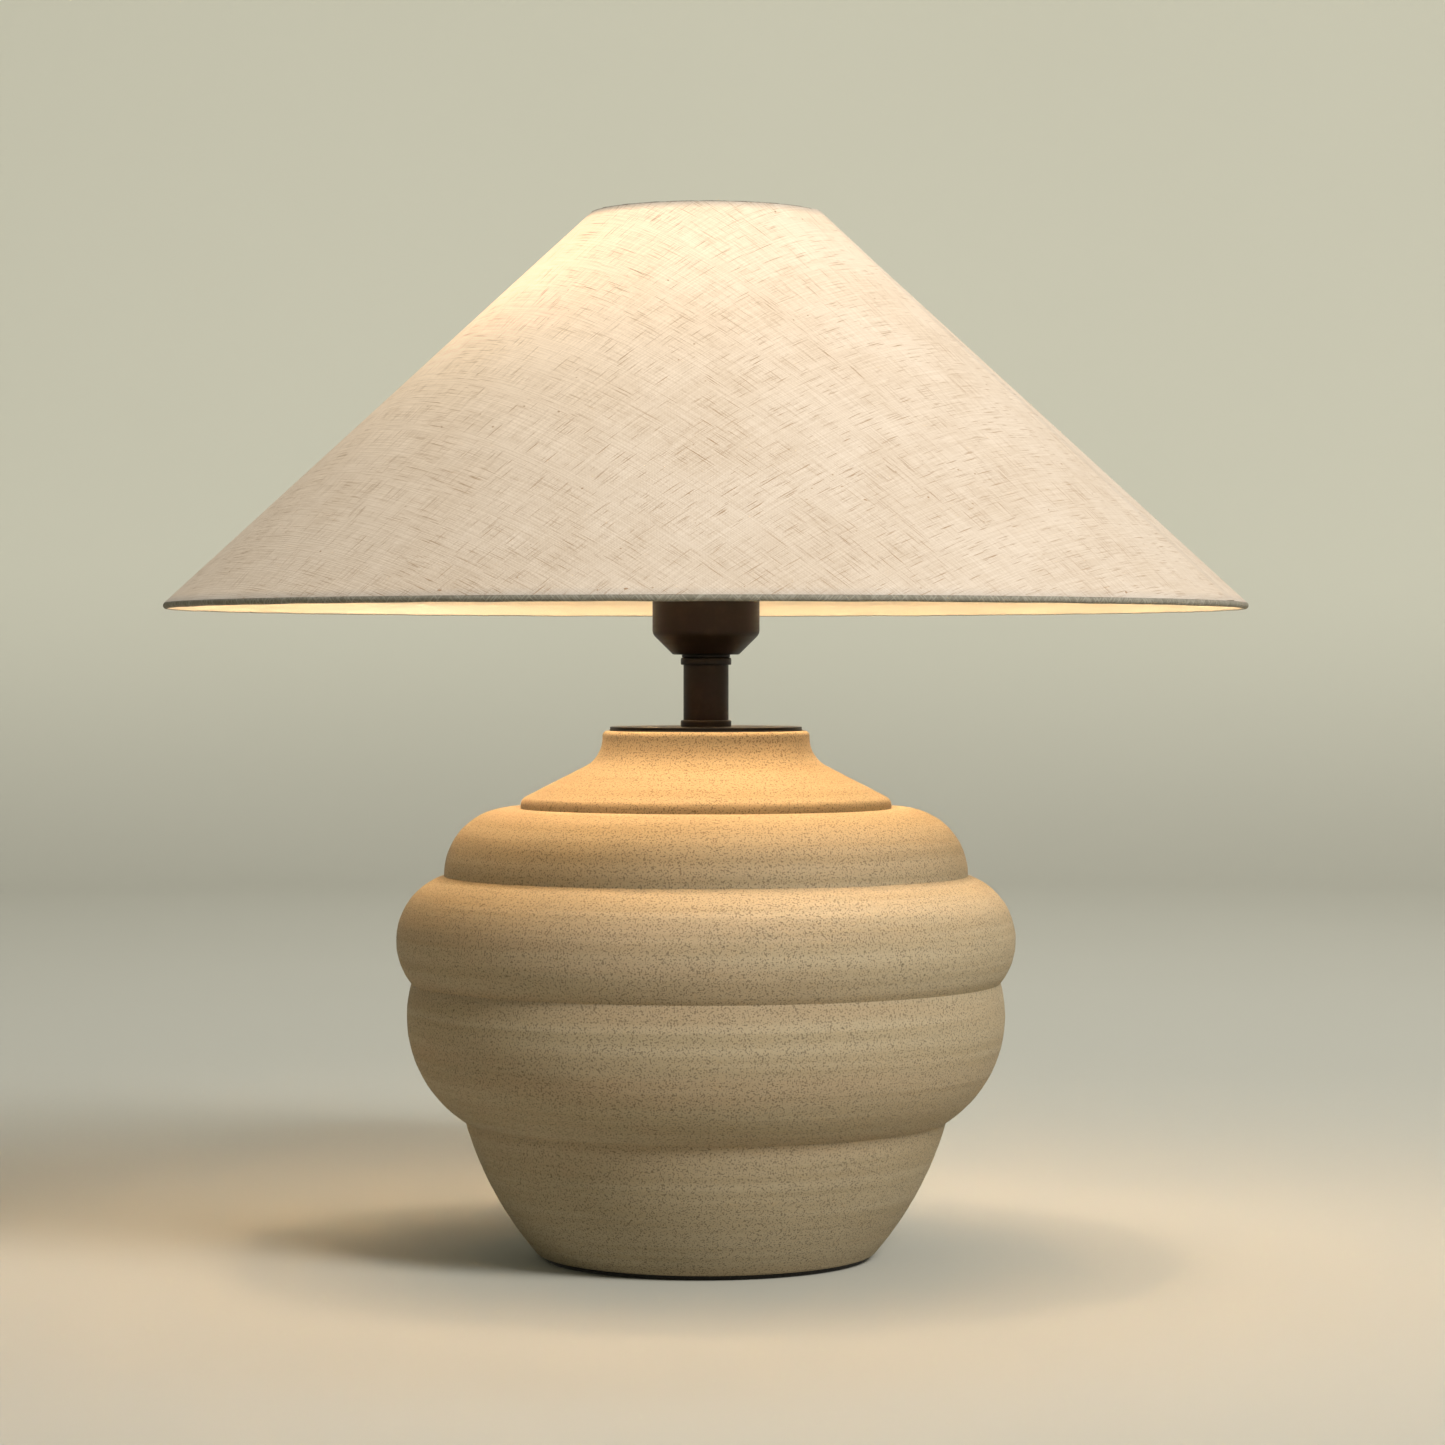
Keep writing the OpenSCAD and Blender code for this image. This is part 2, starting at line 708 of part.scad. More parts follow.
module shade_lining() {
    end_gap = wire_r + glue_gap;
    color("#f4efe2") cone_sheet(lining_in, lining_out, end_gap, slant - end_gap);
}

module shade_linen() {
    color("#d9cdb8") cone_sheet(linen_in, linen_in + linen_t, glue_gap, slant - glue_gap);
}

module bottom_hem() {
    color("#cfc4b0")
        difference() {
            rotate_extrude($fn = 180)
                polygon([for (p = strip(hem_path(), linen_t)) on_slope(p.x, p.y)]);
            arms(0.3);
        }
}

module top_hem() {
    color("#cfc4b0")
        rotate_extrude($fn = 180)
            polygon([for (p = strip(hem_path(), linen_t)) on_slope(p.x, slant - p.y)]);
}

// The screw cap: a rolled thread, closed in at its foot and with a collar for the glass
module bulb_cap() {
    foot_r = 10.2;
    thread = wave(cap_mean_r, bulb_thread_z, bulb_thread_h);
    top_z = bulb_thread_z + bulb_thread_h + bulb_collar_h;
    color("#cfd1d2")
        rotate_extrude()
            polygon(concat(
                [[foot_r, bulb_thread_z - 0.8]], thread, [[glass_waist_r, top_z]],
                [[glass_waist_r - shell_t, top_z]],
                reversed([for (p = thread) p - [shell_t, 0]]),
                [[foot_r, bulb_thread_z - 0.1]]
            ));
}

module bulb_insulator() {
    color("#1d1c1b")
        translate([0, 0, bulb_z + bulb_contact_h])
            cylinder(r1 = 5.5, r2 = 10.1, h = bulb_insulator_h);
}

module bulb_contact() {
    color("#c4bfb4")
        translate([0, 0, bulb_z]) cylinder(r1 = 3.4, r2 = 4.8, h = bulb_contact_h);
}

// Half of the glass's outline, a given distance inside its outer face
function glass_line(inset) =
    let (ball = bulb_r - inset)
    let (waist = glass_waist_r - inset)
    let (centre = [0, bulb_centre_z])
    let (waist_round = 15 + inset)
    let (leave = centre + ball * [cos(glass_lean), -sin(glass_lean)])
    let (waist_turn_r = waist + waist_round * (1 - cos(glass_lean)))
    let (join_z = leave.y - (leave.x - waist_turn_r) / tan(glass_lean))
    let (waist_centre = [waist + waist_round, join_z - waist_round * sin(glass_lean)])
    concat(
        arc_about(centre, ball, 90, -glass_lean, 24),
        arc_about(waist_centre, waist_round, 180 - glass_lean, 180, 6),
        [[waist, glass_joint_z + inset]]
    );

// The solid inside the glass's outline, closed across its neck
module glass_solid(inset, foot_z) {
    neck_r = glass_neck_r - inset;
    rotate_extrude()
        polygon(concat(glass_line(inset), [[neck_r, glass_joint_z + inset], [neck_r, foot_z], [0, foot_z]]));
}

module bulb_glass() {
    color("#f6f1e4")
        difference() {
            glass_solid(0, glass_foot_z);
            glass_solid(glass_t, glass_foot_z - 1);
        }
}

module bulb_stem() {
    color("#dfe3e0") {
        translate([0, 0, glass_foot_z]) cylinder(r1 = 8, r2 = 3, h = 12);
        translate([0, 0, glass_foot_z + 11.5]) cylinder(r = 2.5, h = bulb_centre_z - glass_foot_z - 20);
    }
}

// Four lit rods that lean in from the foot of the stem
module led_filaments() {
    rod_l = 32;
    color("#f0c24a")
        for (angle = [45:90:315])
            rotate([0, 0, angle])
                translate([9, 0, bulb_centre_z - rod_l * 0.6])
                    rotate([0, -6, 0]) cylinder(r = 0.9, h = rod_l);
}

base_pad();
ceramic_body();
cord_grommet();
base_rubber_washer();
base_steel_washer();
base_spring_washer();
base_nut();
threaded_rod();
neck_gasket();
neck_cap();
stem_lower_collar();
stem_tube();
stem_upper_collar();
holder_cup();
earth_tag();
holder_nut();
holder_insert();
terminal_blocks();
terminal_screws();
centre_contact();
screw_shell();
holder_skirt();
shade_ring();
shade_hub();
shade_arms();
bottom_rim_wire();
top_rim_wire();
shade_lining();
shade_linen();
bottom_hem();
top_hem();
bulb_cap();
bulb_insulator();
bulb_contact();
bulb_glass();
bulb_stem();
led_filaments();
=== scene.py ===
"""Table lamp with a ribbed stoneware body and a wide linen cone shade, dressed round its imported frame."""

import json
import logging
import math
from collections.abc import Mapping, Sequence
from dataclasses import dataclass, field
from enum import Enum
from typing import Any

import bmesh
import bpy
import numpy as np
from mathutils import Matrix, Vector


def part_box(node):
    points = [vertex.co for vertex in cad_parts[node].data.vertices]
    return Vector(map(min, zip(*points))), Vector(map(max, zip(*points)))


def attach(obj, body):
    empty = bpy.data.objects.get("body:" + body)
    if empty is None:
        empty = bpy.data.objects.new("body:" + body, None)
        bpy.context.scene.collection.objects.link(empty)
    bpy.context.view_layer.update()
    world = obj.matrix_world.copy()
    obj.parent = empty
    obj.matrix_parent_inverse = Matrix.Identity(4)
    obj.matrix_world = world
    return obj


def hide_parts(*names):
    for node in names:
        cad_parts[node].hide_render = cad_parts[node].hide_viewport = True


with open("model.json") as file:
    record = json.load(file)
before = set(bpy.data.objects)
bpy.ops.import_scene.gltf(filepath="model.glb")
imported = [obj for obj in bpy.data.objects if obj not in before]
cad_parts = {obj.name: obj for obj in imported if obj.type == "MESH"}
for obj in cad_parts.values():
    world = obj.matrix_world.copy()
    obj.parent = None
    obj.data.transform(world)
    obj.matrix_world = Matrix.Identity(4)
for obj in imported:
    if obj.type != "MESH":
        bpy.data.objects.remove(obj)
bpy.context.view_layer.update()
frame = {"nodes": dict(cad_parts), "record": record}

Array = np.ndarray
Colour = tuple[float, float, float, float]
Node = bpy.types.Node
Object = bpy.types.Object
Socket = bpy.types.NodeSocket
Triple = tuple[float, float, float]

logging.basicConfig(level=logging.INFO, format="%(message)s")
log = logging.getLogger("lamp")

MM = 0.001
POLE_GAP = 1e-7
BLACK = (0.0, 0.0, 0.0, 1.0)
CLOTH_MAP = "cloth"
OPEN_CLOTH = "open_cloth"


class Slot(Enum):
    """The record's material slots, which the finishes below are made for."""

    FELT = "black_felt"
    STONEWARE = "stoneware"
    RUBBER = "black_rubber"
    ZINC = "zinc_steel"
    BRONZE = "dark_bronze"
    BRASS = "brass"
    PORCELAIN = "porcelain"
    NICKEL = "nickel_plate"
    THERMOSET = "black_thermoset"
    WIRE = "white_wire"
    LINING = "lining_film"
    LINEN = "natural_linen"
    VITRITE = "black_glass"
    OPAL = "opal_glass"
    CLEAR = "clear_glass"
    PHOSPHOR = "led_phosphor"


class Body(Enum):
    """The parts of the lamp that move apart from each other."""

    LAMP = "lamp"
    SHADE = "shade"


# ---------------------------------------------------------------------------
# Shader building
# ---------------------------------------------------------------------------


class Signal:
    """A number that varies over a surface. Python arithmetic on it adds Math nodes."""

    def __init__(self, graph: "Graph", socket: Socket) -> None:
        """Wraps one output socket of a graph."""
        self.graph = graph
        self.socket = socket

    def _math(self, operation: str, first: "Signal | float", second: "Signal | float") -> "Signal":
        """The result of a new Math node on two values."""
        node = self.graph.add("ShaderNodeMath", {"operation": operation}, {0: first, 1: second})
        return Signal(self.graph, node.outputs[0])

    def __add__(self, other: "Signal | float") -> "Signal":
        """This plus other."""
        return self._math("ADD", self, other)

    __radd__ = __add__

    def __sub__(self, other: "Signal | float") -> "Signal":
        """This less other."""
        return self._math("SUBTRACT", self, other)

    def __rsub__(self, other: float) -> "Signal":
        """Other less this."""
        return self._math("SUBTRACT", other, self)

    def __mul__(self, other: "Signal | float") -> "Signal":
        """This times other."""
        return self._math("MULTIPLY", self, other)

    __rmul__ = __mul__

    def __rtruediv__(self, other: float) -> "Signal":
        """Other over this."""
        return self._math("DIVIDE", other, self)

    def __pow__(self, other: float) -> "Signal":
        """This to the power of other."""
        return self._math("POWER", self, other)

    def sine(self) -> "Signal":
        """The sine of this, in radians."""
        return self._math("SINE", self, 0.0)

    def larger(self, other: "Signal | float") -> "Signal":
        """The larger of this and other."""
        return self._math("MAXIMUM", self, other)

    def step(self, low: float, high: float) -> "Signal":
        """A smooth step of this.

        Args:
            low: Up to where the step is 0.
            high: From where it is 1.

        Returns:
            The step.
        """
        inputs = {"Value": self, "From Min": low, "From Max": high}
        node = self.graph.add("ShaderNodeMapRange", {"interpolation_type": "SMOOTHSTEP"}, inputs)
        return Signal(self.graph, node.outputs["Result"])


class Graph:
    """The node tree of one new material."""

    def __init__(self, name: str) -> None:
        """Makes an empty material.

        Args:
            name: Its name.
        """
        self.material = bpy.data.materials.new(name)
        self.material.use_nodes = True
        self.tree = self.material.node_tree
        self.tree.nodes.clear()

    def add(
        self,
        kind: str,
        settings: Mapping[str, Any] | None = None,
        inputs: Mapping[str | int, Any] | None = None,
    ) -> Node:
        """Adds any node.

        Args:
            kind: The node's type.
            settings: Its properties, which are set first.
            inputs: A value, a socket or a signal for each of its inputs, by name or number.

        Returns:
            The new node.
        """
        node = self.tree.nodes.new(kind)
        for name, value in (settings or {}).items():
            setattr(node, name, value)
        for name, value in (inputs or {}).items():
            socket = node.inputs[name]
            source = value.socket if isinstance(value, Signal) else value
            if isinstance(source, bpy.types.NodeSocket):
                self.tree.links.new(source, socket)
            else:
                socket.default_value = source
        return node

    def place(self) -> Socket:
        """Where a point of the surface is, in the lamp's own frame, in metres."""
        return self.add("ShaderNodeTexCoord").outputs["Object"]

    def cloth(self) -> Socket:
        """Where a point of cloth lies in its flat cut, in metres along its warp and its weft."""
        return self.add("ShaderNodeUVMap", {"uv_map": CLOTH_MAP}).outputs["UV"]

    def attribute(self, name: str) -> Signal:
        """A number that each point of the piece carries."""
        node = self.add("ShaderNodeAttribute", {"attribute_name": name})
        return Signal(self, node.outputs["Fac"])

    def distance(self, vector: Socket, centre: Sequence[float]) -> Signal:
        """How far a place is from a fixed point."""
        node = self.add("ShaderNodeVectorMath", {"operation": "DISTANCE"}, {0: vector, 1: centre})
        return Signal(self, node.outputs["Value"])

    def scaled(self, vector: Socket, scale: Sequence[float]) -> Socket:
        """A vector with each of its parts times its own scale."""
        settings = {"operation": "MULTIPLY"}
        return self.add("ShaderNodeVectorMath", settings, {0: vector, 1: scale}).outputs["Vector"]

    def parts(self, vector: Socket) -> tuple[Signal, Signal, Signal]:
        """The three parts of a vector."""
        node = self.add("ShaderNodeSeparateXYZ", inputs={"Vector": vector})
        return tuple(Signal(self, output) for output in node.outputs)

    def noise(self, vector: Socket, scale: Sequence[float] | float, detail: float = 2.0) -> Signal:
        """Smooth noise.

        Args:
            vector: Where to read it.
            scale: How many of its features there are to the metre, along each axis or along all.
            detail: How many finer layers it has.

        Returns:
            The noise, from 0 to 1 and mostly near a half.
        """
        each = scale if isinstance(scale, Sequence) else (scale, scale, scale)
        inputs = {"Vector": self.scaled(vector, each), "Scale": 1.0, "Detail": detail}
        return Signal(self, self.add("ShaderNodeTexNoise", inputs=inputs).outputs["Fac"])

    def weave(self, warp: Signal, weft: Signal, pitch: float) -> Signal:
        """A plain weave: a half plus half the product of the sines of warp and weft, over the pitch."""
        turn = 2 * math.pi / pitch
        return 0.5 + 0.5 * ((warp * turn).sine() * (weft * turn).sine())

    def mixed(self, share: Signal | float, first: Socket | Colour, second: Socket | Colour) -> Socket:
        """A mix of two colours, with a share of the second."""
        node = self.add("ShaderNodeMix", {"data_type": "RGBA"}, {0: share, 6: first, 7: second})
        return node.outputs[2]

    def bump(self, height: Signal, distance: float, strength: float = 1.0) -> Socket:
        """A normal from a relief, where a height of 1 is the distance high, in metres."""
        inputs = {"Height": height, "Distance": distance, "Strength": strength}
        return self.add("ShaderNodeBump", inputs=inputs).outputs["Normal"]

    def principled(self, **inputs: Any) -> Socket:
        """A Principled shader, whose inputs have an underscore for each space in a name."""
        named = {name.replace("_", " "): value for name, value in inputs.items()}
        return self.add("ShaderNodeBsdfPrincipled", inputs=named).outputs["BSDF"]

    def finished(self, shader: Socket) -> bpy.types.Material:
        """The material, with a shader on its surface."""
        self.add("ShaderNodeOutputMaterial", inputs={"Surface": shader})
        return self.material


# ---------------------------------------------------------------------------
# Finishes
# ---------------------------------------------------------------------------


@dataclass(frozen=True)
class Stoneware:
    """Unglazed sandy stoneware, thickly specked, with the soft bands that throwing leaves.

    A scale is how many features there are to the metre, along each axis or along all.
    """

    clay: Colour = (0.325, 0.26, 0.16, 1.0)
    pale: Colour = (0.40, 0.33, 0.22, 1.0)
    blush: Colour = (0.36, 0.25, 0.15, 1.0)
    speck: Colour = (0.065, 0.045, 0.028, 1.0)
    band_scale: Triple = (5, 5, 300)
    sweep_scale: Triple = (3, 3, 42)
    cloud_scale: float = 24
    sand_scale: float = 1500
    fleck_scale: float = 820
    relief: float = 0.12 * MM

    def material(self) -> bpy.types.Material:
        """The finish as a material.

        Returns:
            The new material.
        """
        graph = Graph("stoneware")
        place = graph.place()
        bands = graph.noise(place, self.band_scale, 3)
        sweeps = graph.noise(place, self.sweep_scale, 2)
        clouds = graph.noise(place, self.cloud_scale, 3)
        sand = graph.noise(place, self.sand_scale, 2)
        flecks = graph.noise(place, self.fleck_scale, 2).step(0.66, 0.72) * 0.72
        paleness = bands.step(0.30, 0.70) * 0.7 + sand.step(0.3, 0.7) * 0.3
        base = graph.mixed(paleness, self.clay, self.pale)
        base = graph.mixed(sweeps.step(0.45, 0.75) * 0.55, base, self.blush)
        base = graph.mixed(clouds.step(0.45, 0.8) * 0.2, base, self.pale)
        specks = (sand.step(0.51, 0.64) * 0.62).larger(flecks)
        base = graph.mixed(specks, base, self.speck)
        height = sand * 0.6 + bands * 0.25 - flecks * 0.4
        shader = graph.principled(
            Base_Color=base,
            Roughness=0.86 + (sand - 0.5) * 0.2,
            Specular_IOR_Level=0.3,
            Normal=graph.bump(height, self.relief, 0.8),
        )
        return graph.finished(shader)


@dataclass(frozen=True)
class Linen:
    """Undyed slubbed linen, with the bulb's light through it painted on as emission.

    The light that comes through is a painted glow: the bulb's light falling on a cone, the cube of the
    cone's distance from the glow's centre over the point's own distance, and a level part that the
    lining has spread. A scale is how many features there are to the metre, along the warp and along
    the weft.
    """

    thread: Colour = (0.565, 0.495, 0.425, 1.0)
    dull: Colour = (0.43, 0.345, 0.265, 1.0)
    slub: Colour = (0.28, 0.155, 0.07, 1.0)
    glow: Colour = (1.0, 0.685, 0.37, 1.0)
    glow_near: float = 0.64
    glow_far: float = 0.13
    # where the painted glow is centred: 27 mm left of the bulb, which stands on the axis, so the shade's left
    # is painted brighter
    glow_centre: Triple = (-0.027, 0.0, 0.363)
    cone_gap: float = 0.0845
    pitch: float = 0.8 * MM
    warp_scale: Triple = (40, 1800, 1)
    weft_scale: Triple = (1800, 40, 1)
    warp_slub_scale: Triple = (60, 1900, 1)
    weft_slub_scale: Triple = (1800, 70, 1)
    patch_scale: float = 24
    nep_scale: float = 300
    relief: float = 0.2 * MM

    def material(self) -> bpy.types.Material:
        """The finish as a material.

        Returns:
            The new material.
        """
        graph = Graph("natural_linen")
        cloth = graph.cloth()
        warp, weft, _ = graph.parts(cloth)
        weave = graph.weave(warp, weft, self.pitch)
        warp_tone = graph.noise(cloth, self.warp_scale, 2).step(0.36, 0.64)
        weft_tone = graph.noise(cloth, self.weft_scale, 2).step(0.36, 0.64)
        tone = (warp_tone + weft_tone) * 0.5
        patches = graph.noise(cloth, self.patch_scale, 2).step(0.38, 0.66)
        warp_slubs = graph.noise(cloth, self.warp_slub_scale, 2).step(0.605, 0.68) * (0.3 + patches * 0.7)
        weft_slubs = graph.noise(cloth, self.weft_slub_scale, 2).step(0.615, 0.69) * (1.0 - patches * 0.4)
        neps = graph.noise(cloth, self.nep_scale, 1).step(0.755, 0.80)
        slubs = (warp_slubs * 0.75).larger(weft_slubs * 0.75).larger(neps * 0.8)
        paleness = tone * 0.6 + weave * 0.2 + (1.0 - patches) * 0.2
        plain = graph.mixed(paleness, self.dull, self.thread)
        # painted glow: brighter near the glow's centre, dimmer where the cloth is double, on a wire or
        # slubbed
        near = (self.cone_gap / graph.distance(graph.place(), self.glow_centre)) ** 3
        passed = graph.attribute(OPEN_CLOTH) * (1.0 - slubs * 0.8) * (0.74 + tone * 0.26)
        light = (near * self.glow_near + self.glow_far) * passed
        shader = graph.principled(
            Base_Color=graph.mixed(slubs, plain, self.slub),
            Roughness=0.92,
            Specular_IOR_Level=0.2,
            Sheen_Weight=0.12,
            Emission_Color=graph.mixed(light, BLACK, self.glow),
            Emission_Strength=1.0,
            Normal=graph.bump(weave * 0.4 + tone * 0.6 + slubs * 0.8, self.relief, 0.8),
        )
        material = graph.finished(shader)
        material.cycles.emission_sampling = "NONE"
        return material


@dataclass(frozen=True)
class Hem:
    """The shade's turned edge: linen round the wire, with painted shade on its grey-green outside and painted
    light on its cream back inside.
    """

    # painted shade: the hem's outside, darker and greener than the cover's own linen, where the rim is unlit
    edge: Colour = (0.36, 0.34, 0.28, 1.0)
    dark: Colour = (0.16, 0.14, 0.105, 1.0)
    # painted light: the hem's back inside the shade, paler than the cover's own linen, where the bulb lights
    # it
    cream: Colour = (0.80, 0.74, 0.62, 1.0)
    inside_from: float = 3.0 * MM
    inside_ease: float = 1.0 * MM
    pitch: float = 0.62 * MM
    warp_scale: Triple = (90, 1500, 1)
    weft_scale: Triple = (1500, 90, 1)
    relief: float = 0.18 * MM

    def material(self) -> bpy.types.Material:
        """The finish as a material.

        Returns:
            The new material.
        """
        graph = Graph("hem_linen")
        cloth = graph.cloth()
        warp, weft, _ = graph.parts(cloth)
        weave = graph.weave(warp, weft, self.pitch)
        warp_threads = graph.noise(cloth, self.warp_scale, 2)
        threads = warp_threads.larger(graph.noise(cloth, self.weft_scale, 2))
        across = (warp - weft) * (1 / math.sqrt(2))
        # share of the painted light on the hem's back inside the shade
        inside = across.step(self.inside_from, self.inside_from + self.inside_ease)
        woven = graph.mixed(weave * 0.35 + threads.step(0.44, 0.7) * 0.65, self.dark, self.edge)
        shader = graph.principled(
            Base_Color=graph.mixed(inside, woven, self.cream),
            Roughness=0.92,
            Specular_IOR_Level=0.2,
            Normal=graph.bump(weave * 0.6 + threads * 0.4, self.relief, 0.8),
        )
        return graph.finished(shader)


@dataclass(frozen=True)
class Lining:
    """Stiff cream film that the linen is laminated to."""

    film: Colour = (0.86, 0.82, 0.73, 1.0)
    cloud: Colour = (0.80, 0.75, 0.65, 1.0)
    cloud_scale: float = 60
    grain_scale: float = 420
    relief: float = 0.05 * MM

    def material(self) -> bpy.types.Material:
        """The finish as a material.

        Returns:
            The new material.
        """
        graph = Graph("lining_film")
        place = graph.place()
        clouds = graph.noise(place, self.cloud_scale, 3)
        shader = graph.principled(
            Base_Color=graph.mixed(clouds * 0.5, self.film, self.cloud),
            Roughness=0.55 + (clouds - 0.5) * 0.1,
            Specular_IOR_Level=0.4,
            Normal=graph.bump(graph.noise(place, self.grain_scale, 2), self.relief, 0.5),
        )
        return graph.finished(shader)


@dataclass(frozen=True)
class Metal:
    """Painted, plated or bare metal, with fine lines from turning or drawing."""

    name: str
    colour: Colour
    worn: Colour
    roughness: float
    metallic: float = 1.0
    grain_scale: Triple = (60, 60, 1400)
    mark_scale: float = 150
    relief: float = 0.02 * MM
    specular: float = 0.5

    def material(self) -> bpy.types.Material:
        """The finish as a material.

        Returns:
            The new material.
        """
        graph = Graph(self.name)
        place = graph.place()
        lines = graph.noise(place, self.grain_scale, 2)
        marks = graph.noise(place, self.mark_scale, 3)
        shader = graph.principled(
            Base_Color=graph.mixed(marks.step(0.5, 0.8), self.colour, self.worn),
            Metallic=self.metallic,
            Specular_IOR_Level=self.specular,
            Roughness=self.roughness + (lines - 0.5) * 0.14 + (marks - 0.5) * 0.12,
            Normal=graph.bump(lines, self.relief, 0.6),
        )
        return graph.finished(shader)


@dataclass(frozen=True)
class Moulded:
    """Rubber, plastic, porcelain or glass with a fine moulded grain."""

    name: str
    colour: Colour
    tint: Colour
    roughness: float
    grain_scale: float = 900.0
    relief: float = 0.03 * MM
    coat: float = 0.0
    cloud_scale: float = 90

    def material(self) -> bpy.types.Material:
        """The finish as a material.

        Returns:
            The new material.
        """
        graph = Graph(self.name)
        place = graph.place()
        grain = graph.noise(place, self.grain_scale, 2)
        clouds = graph.noise(place, self.cloud_scale, 3)
        shader = graph.principled(
            Base_Color=graph.mixed(clouds.step(0.35, 0.75), self.colour, self.tint),
            Roughness=self.roughness + (clouds - 0.5) * 0.12,
            Coat_Weight=self.coat,
            Normal=graph.bump(grain, self.relief, 0.5),
        )
        return graph.finished(shader)


@dataclass(frozen=True)
class Felt:
    """Dense matt felt."""

    fibre: Colour = (0.030, 0.028, 0.027, 1.0)
    lint: Colour = (0.075, 0.070, 0.066, 1.0)
    fibre_scale: Triple = (1500, 1500, 2600)
    tuft_scale: float = 320
    relief: float = 0.35 * MM

    def material(self) -> bpy.types.Material:
        """The finish as a material.

        Returns:
            The new material.
        """
        graph = Graph("black_felt")
        place = graph.place()
        fibres = graph.noise(place, self.fibre_scale, 4)
        tufts = graph.noise(place, self.tuft_scale, 3)
        shader = graph.principled(
            Base_Color=graph.mixed(fibres.step(0.5, 0.75), self.fibre, self.lint),
            Roughness=0.95,
            Specular_IOR_Level=0.1,
            Sheen_Weight=0.25,
            Normal=graph.bump(fibres * 0.7 + tufts * 0.3, self.relief),
        )
        return graph.finished(shader)


@dataclass(frozen=True)
class Glow:
    """A lit surface, such as opal glass or a filament's phosphor."""

    name: str
    colour: Colour
    light: Colour
    strength: float
    cloud_scale: float = 70

    def material(self) -> bpy.types.Material:
        """The finish as a material.

        Returns:
            The new material.
        """
        graph = Graph(self.name)
        clouds = graph.noise(graph.place(), self.cloud_scale, 2)
        shader = graph.principled(
            Base_Color=self.colour,
            Roughness=0.2 + clouds * 0.1,
            Emission_Color=graph.mixed(clouds * 0.3, self.light, self.colour),
            Emission_Strength=self.strength,
        )
        material = graph.finished(shader)
        material.cycles.emission_sampling = "NONE"
        return material


@dataclass(frozen=True)
class ClearGlass:
    """Clear blown glass."""

    tint: Colour = (0.93, 0.95, 0.93, 1.0)
    wave_scale: float = 60

    def material(self) -> bpy.types.Material:
        """The finish as a material.

        Returns:
            The new material.
        """
        graph = Graph("clear_glass")
        waves = graph.noise(graph.place(), self.wave_scale, 2)
        shader = graph.principled(
            Base_Color=self.tint,
            Roughness=0.03 + waves * 0.04,
            Transmission_Weight=0.9,
            IOR=1.5,
        )
        return graph.finished(shader)


FINISHES: dict[Slot, Any] = {
    Slot.FELT: Felt(),
    Slot.STONEWARE: Stoneware(),
    Slot.RUBBER: Moulded("black_rubber", (0.03, 0.03, 0.03, 1), (0.045, 0.043, 0.04, 1), 0.72),
    Slot.ZINC: Metal("zinc_steel", (0.62, 0.63, 0.64, 1), (0.50, 0.51, 0.54, 1), 0.32),
    Slot.BRONZE: Metal(
        "dark_bronze",
        (0.008, 0.005, 0.003, 1),
        (0.016, 0.010, 0.006, 1),
        0.42,
        metallic=0.15,
        grain_scale=(40, 40, 900),
        specular=0.2,
    ),
    Slot.BRASS: Metal("brass", (0.78, 0.58, 0.28, 1), (0.60, 0.42, 0.19, 1), 0.28),
    Slot.PORCELAIN: Moulded(
        "porcelain",
        (0.86, 0.83, 0.76, 1),
        (0.80, 0.76, 0.67, 1),
        0.16,
        grain_scale=300.0,
        relief=0.02 * MM,
        coat=0.6,
    ),
    Slot.NICKEL: Metal("nickel_plate", (0.72, 0.71, 0.68, 1), (0.60, 0.58, 0.54, 1), 0.22),
    Slot.THERMOSET: Moulded("black_thermoset", (0.035, 0.032, 0.030, 1), (0.05, 0.045, 0.042, 1), 0.42),
    Slot.WIRE: Moulded(
        "white_wire",
        (0.84, 0.82, 0.77, 1),
        (0.78, 0.75, 0.69, 1),
        0.42,
        grain_scale=1300.0,
        relief=0.06 * MM,
    ),
    Slot.LINING: Lining(),
    Slot.LINEN: Linen(),
    Slot.VITRITE: Moulded("black_glass", (0.015, 0.015, 0.016, 1), (0.03, 0.028, 0.03, 1), 0.12),
    Slot.OPAL: Glow("opal_glass", (0.92, 0.86, 0.74, 1), (1.0, 0.80, 0.52, 1), 5.0),
    Slot.CLEAR: ClearGlass(),
    Slot.PHOSPHOR: Glow("led_phosphor", (0.93, 0.72, 0.2, 1), (1.0, 0.66, 0.26, 1), 9.0),
}


# ---------------------------------------------------------------------------
# Surfaces
# ---------------------------------------------------------------------------


def arc_between(start: Sequence[float], end: Sequence[float], bulge: float, steps: int) -> Array:
    """A circular arc through two points of an outline.

    The circle through both ends has the given sagitta, and its points are spaced evenly by angle about
    its centre, which lies on the chord's perpendicular through its middle.

    Args:
        start: The first point, radius and height.
        end: The last point.
        bulge: How far the arc stands out, to the right of the way from start to end.
        steps: How many pieces the arc has.

    Returns:
        One row per point.
    """
    a, b = np.array(start, float), np.array(end, float)
    half = np.linalg.norm(b - a) / 2
    along = (b - a) / (2 * half)
    out = np.array([along[1], -along[0]])
    radius = (half * half + bulge * bulge) / (2 * bulge)
    turns = np.linspace(-1, 1, steps + 1)[:, None] * math.asin(half / radius)
    return (a + b) / 2 - out * (radius - bulge) + radius * (out * np.cos(turns) + along * np.sin(turns))


def arc_about(centre: Sequence[float], radius: float, first: float, last: float, steps: int) -> Array:
    """Points on a circle: the centre plus the radius times the cosine and sine of each angle in degrees."""
    turns = np.radians(np.linspace(first, last, steps + 1))
    return np.array(centre) + radius * np.stack([np.cos(turns), np.sin(turns)], 1)


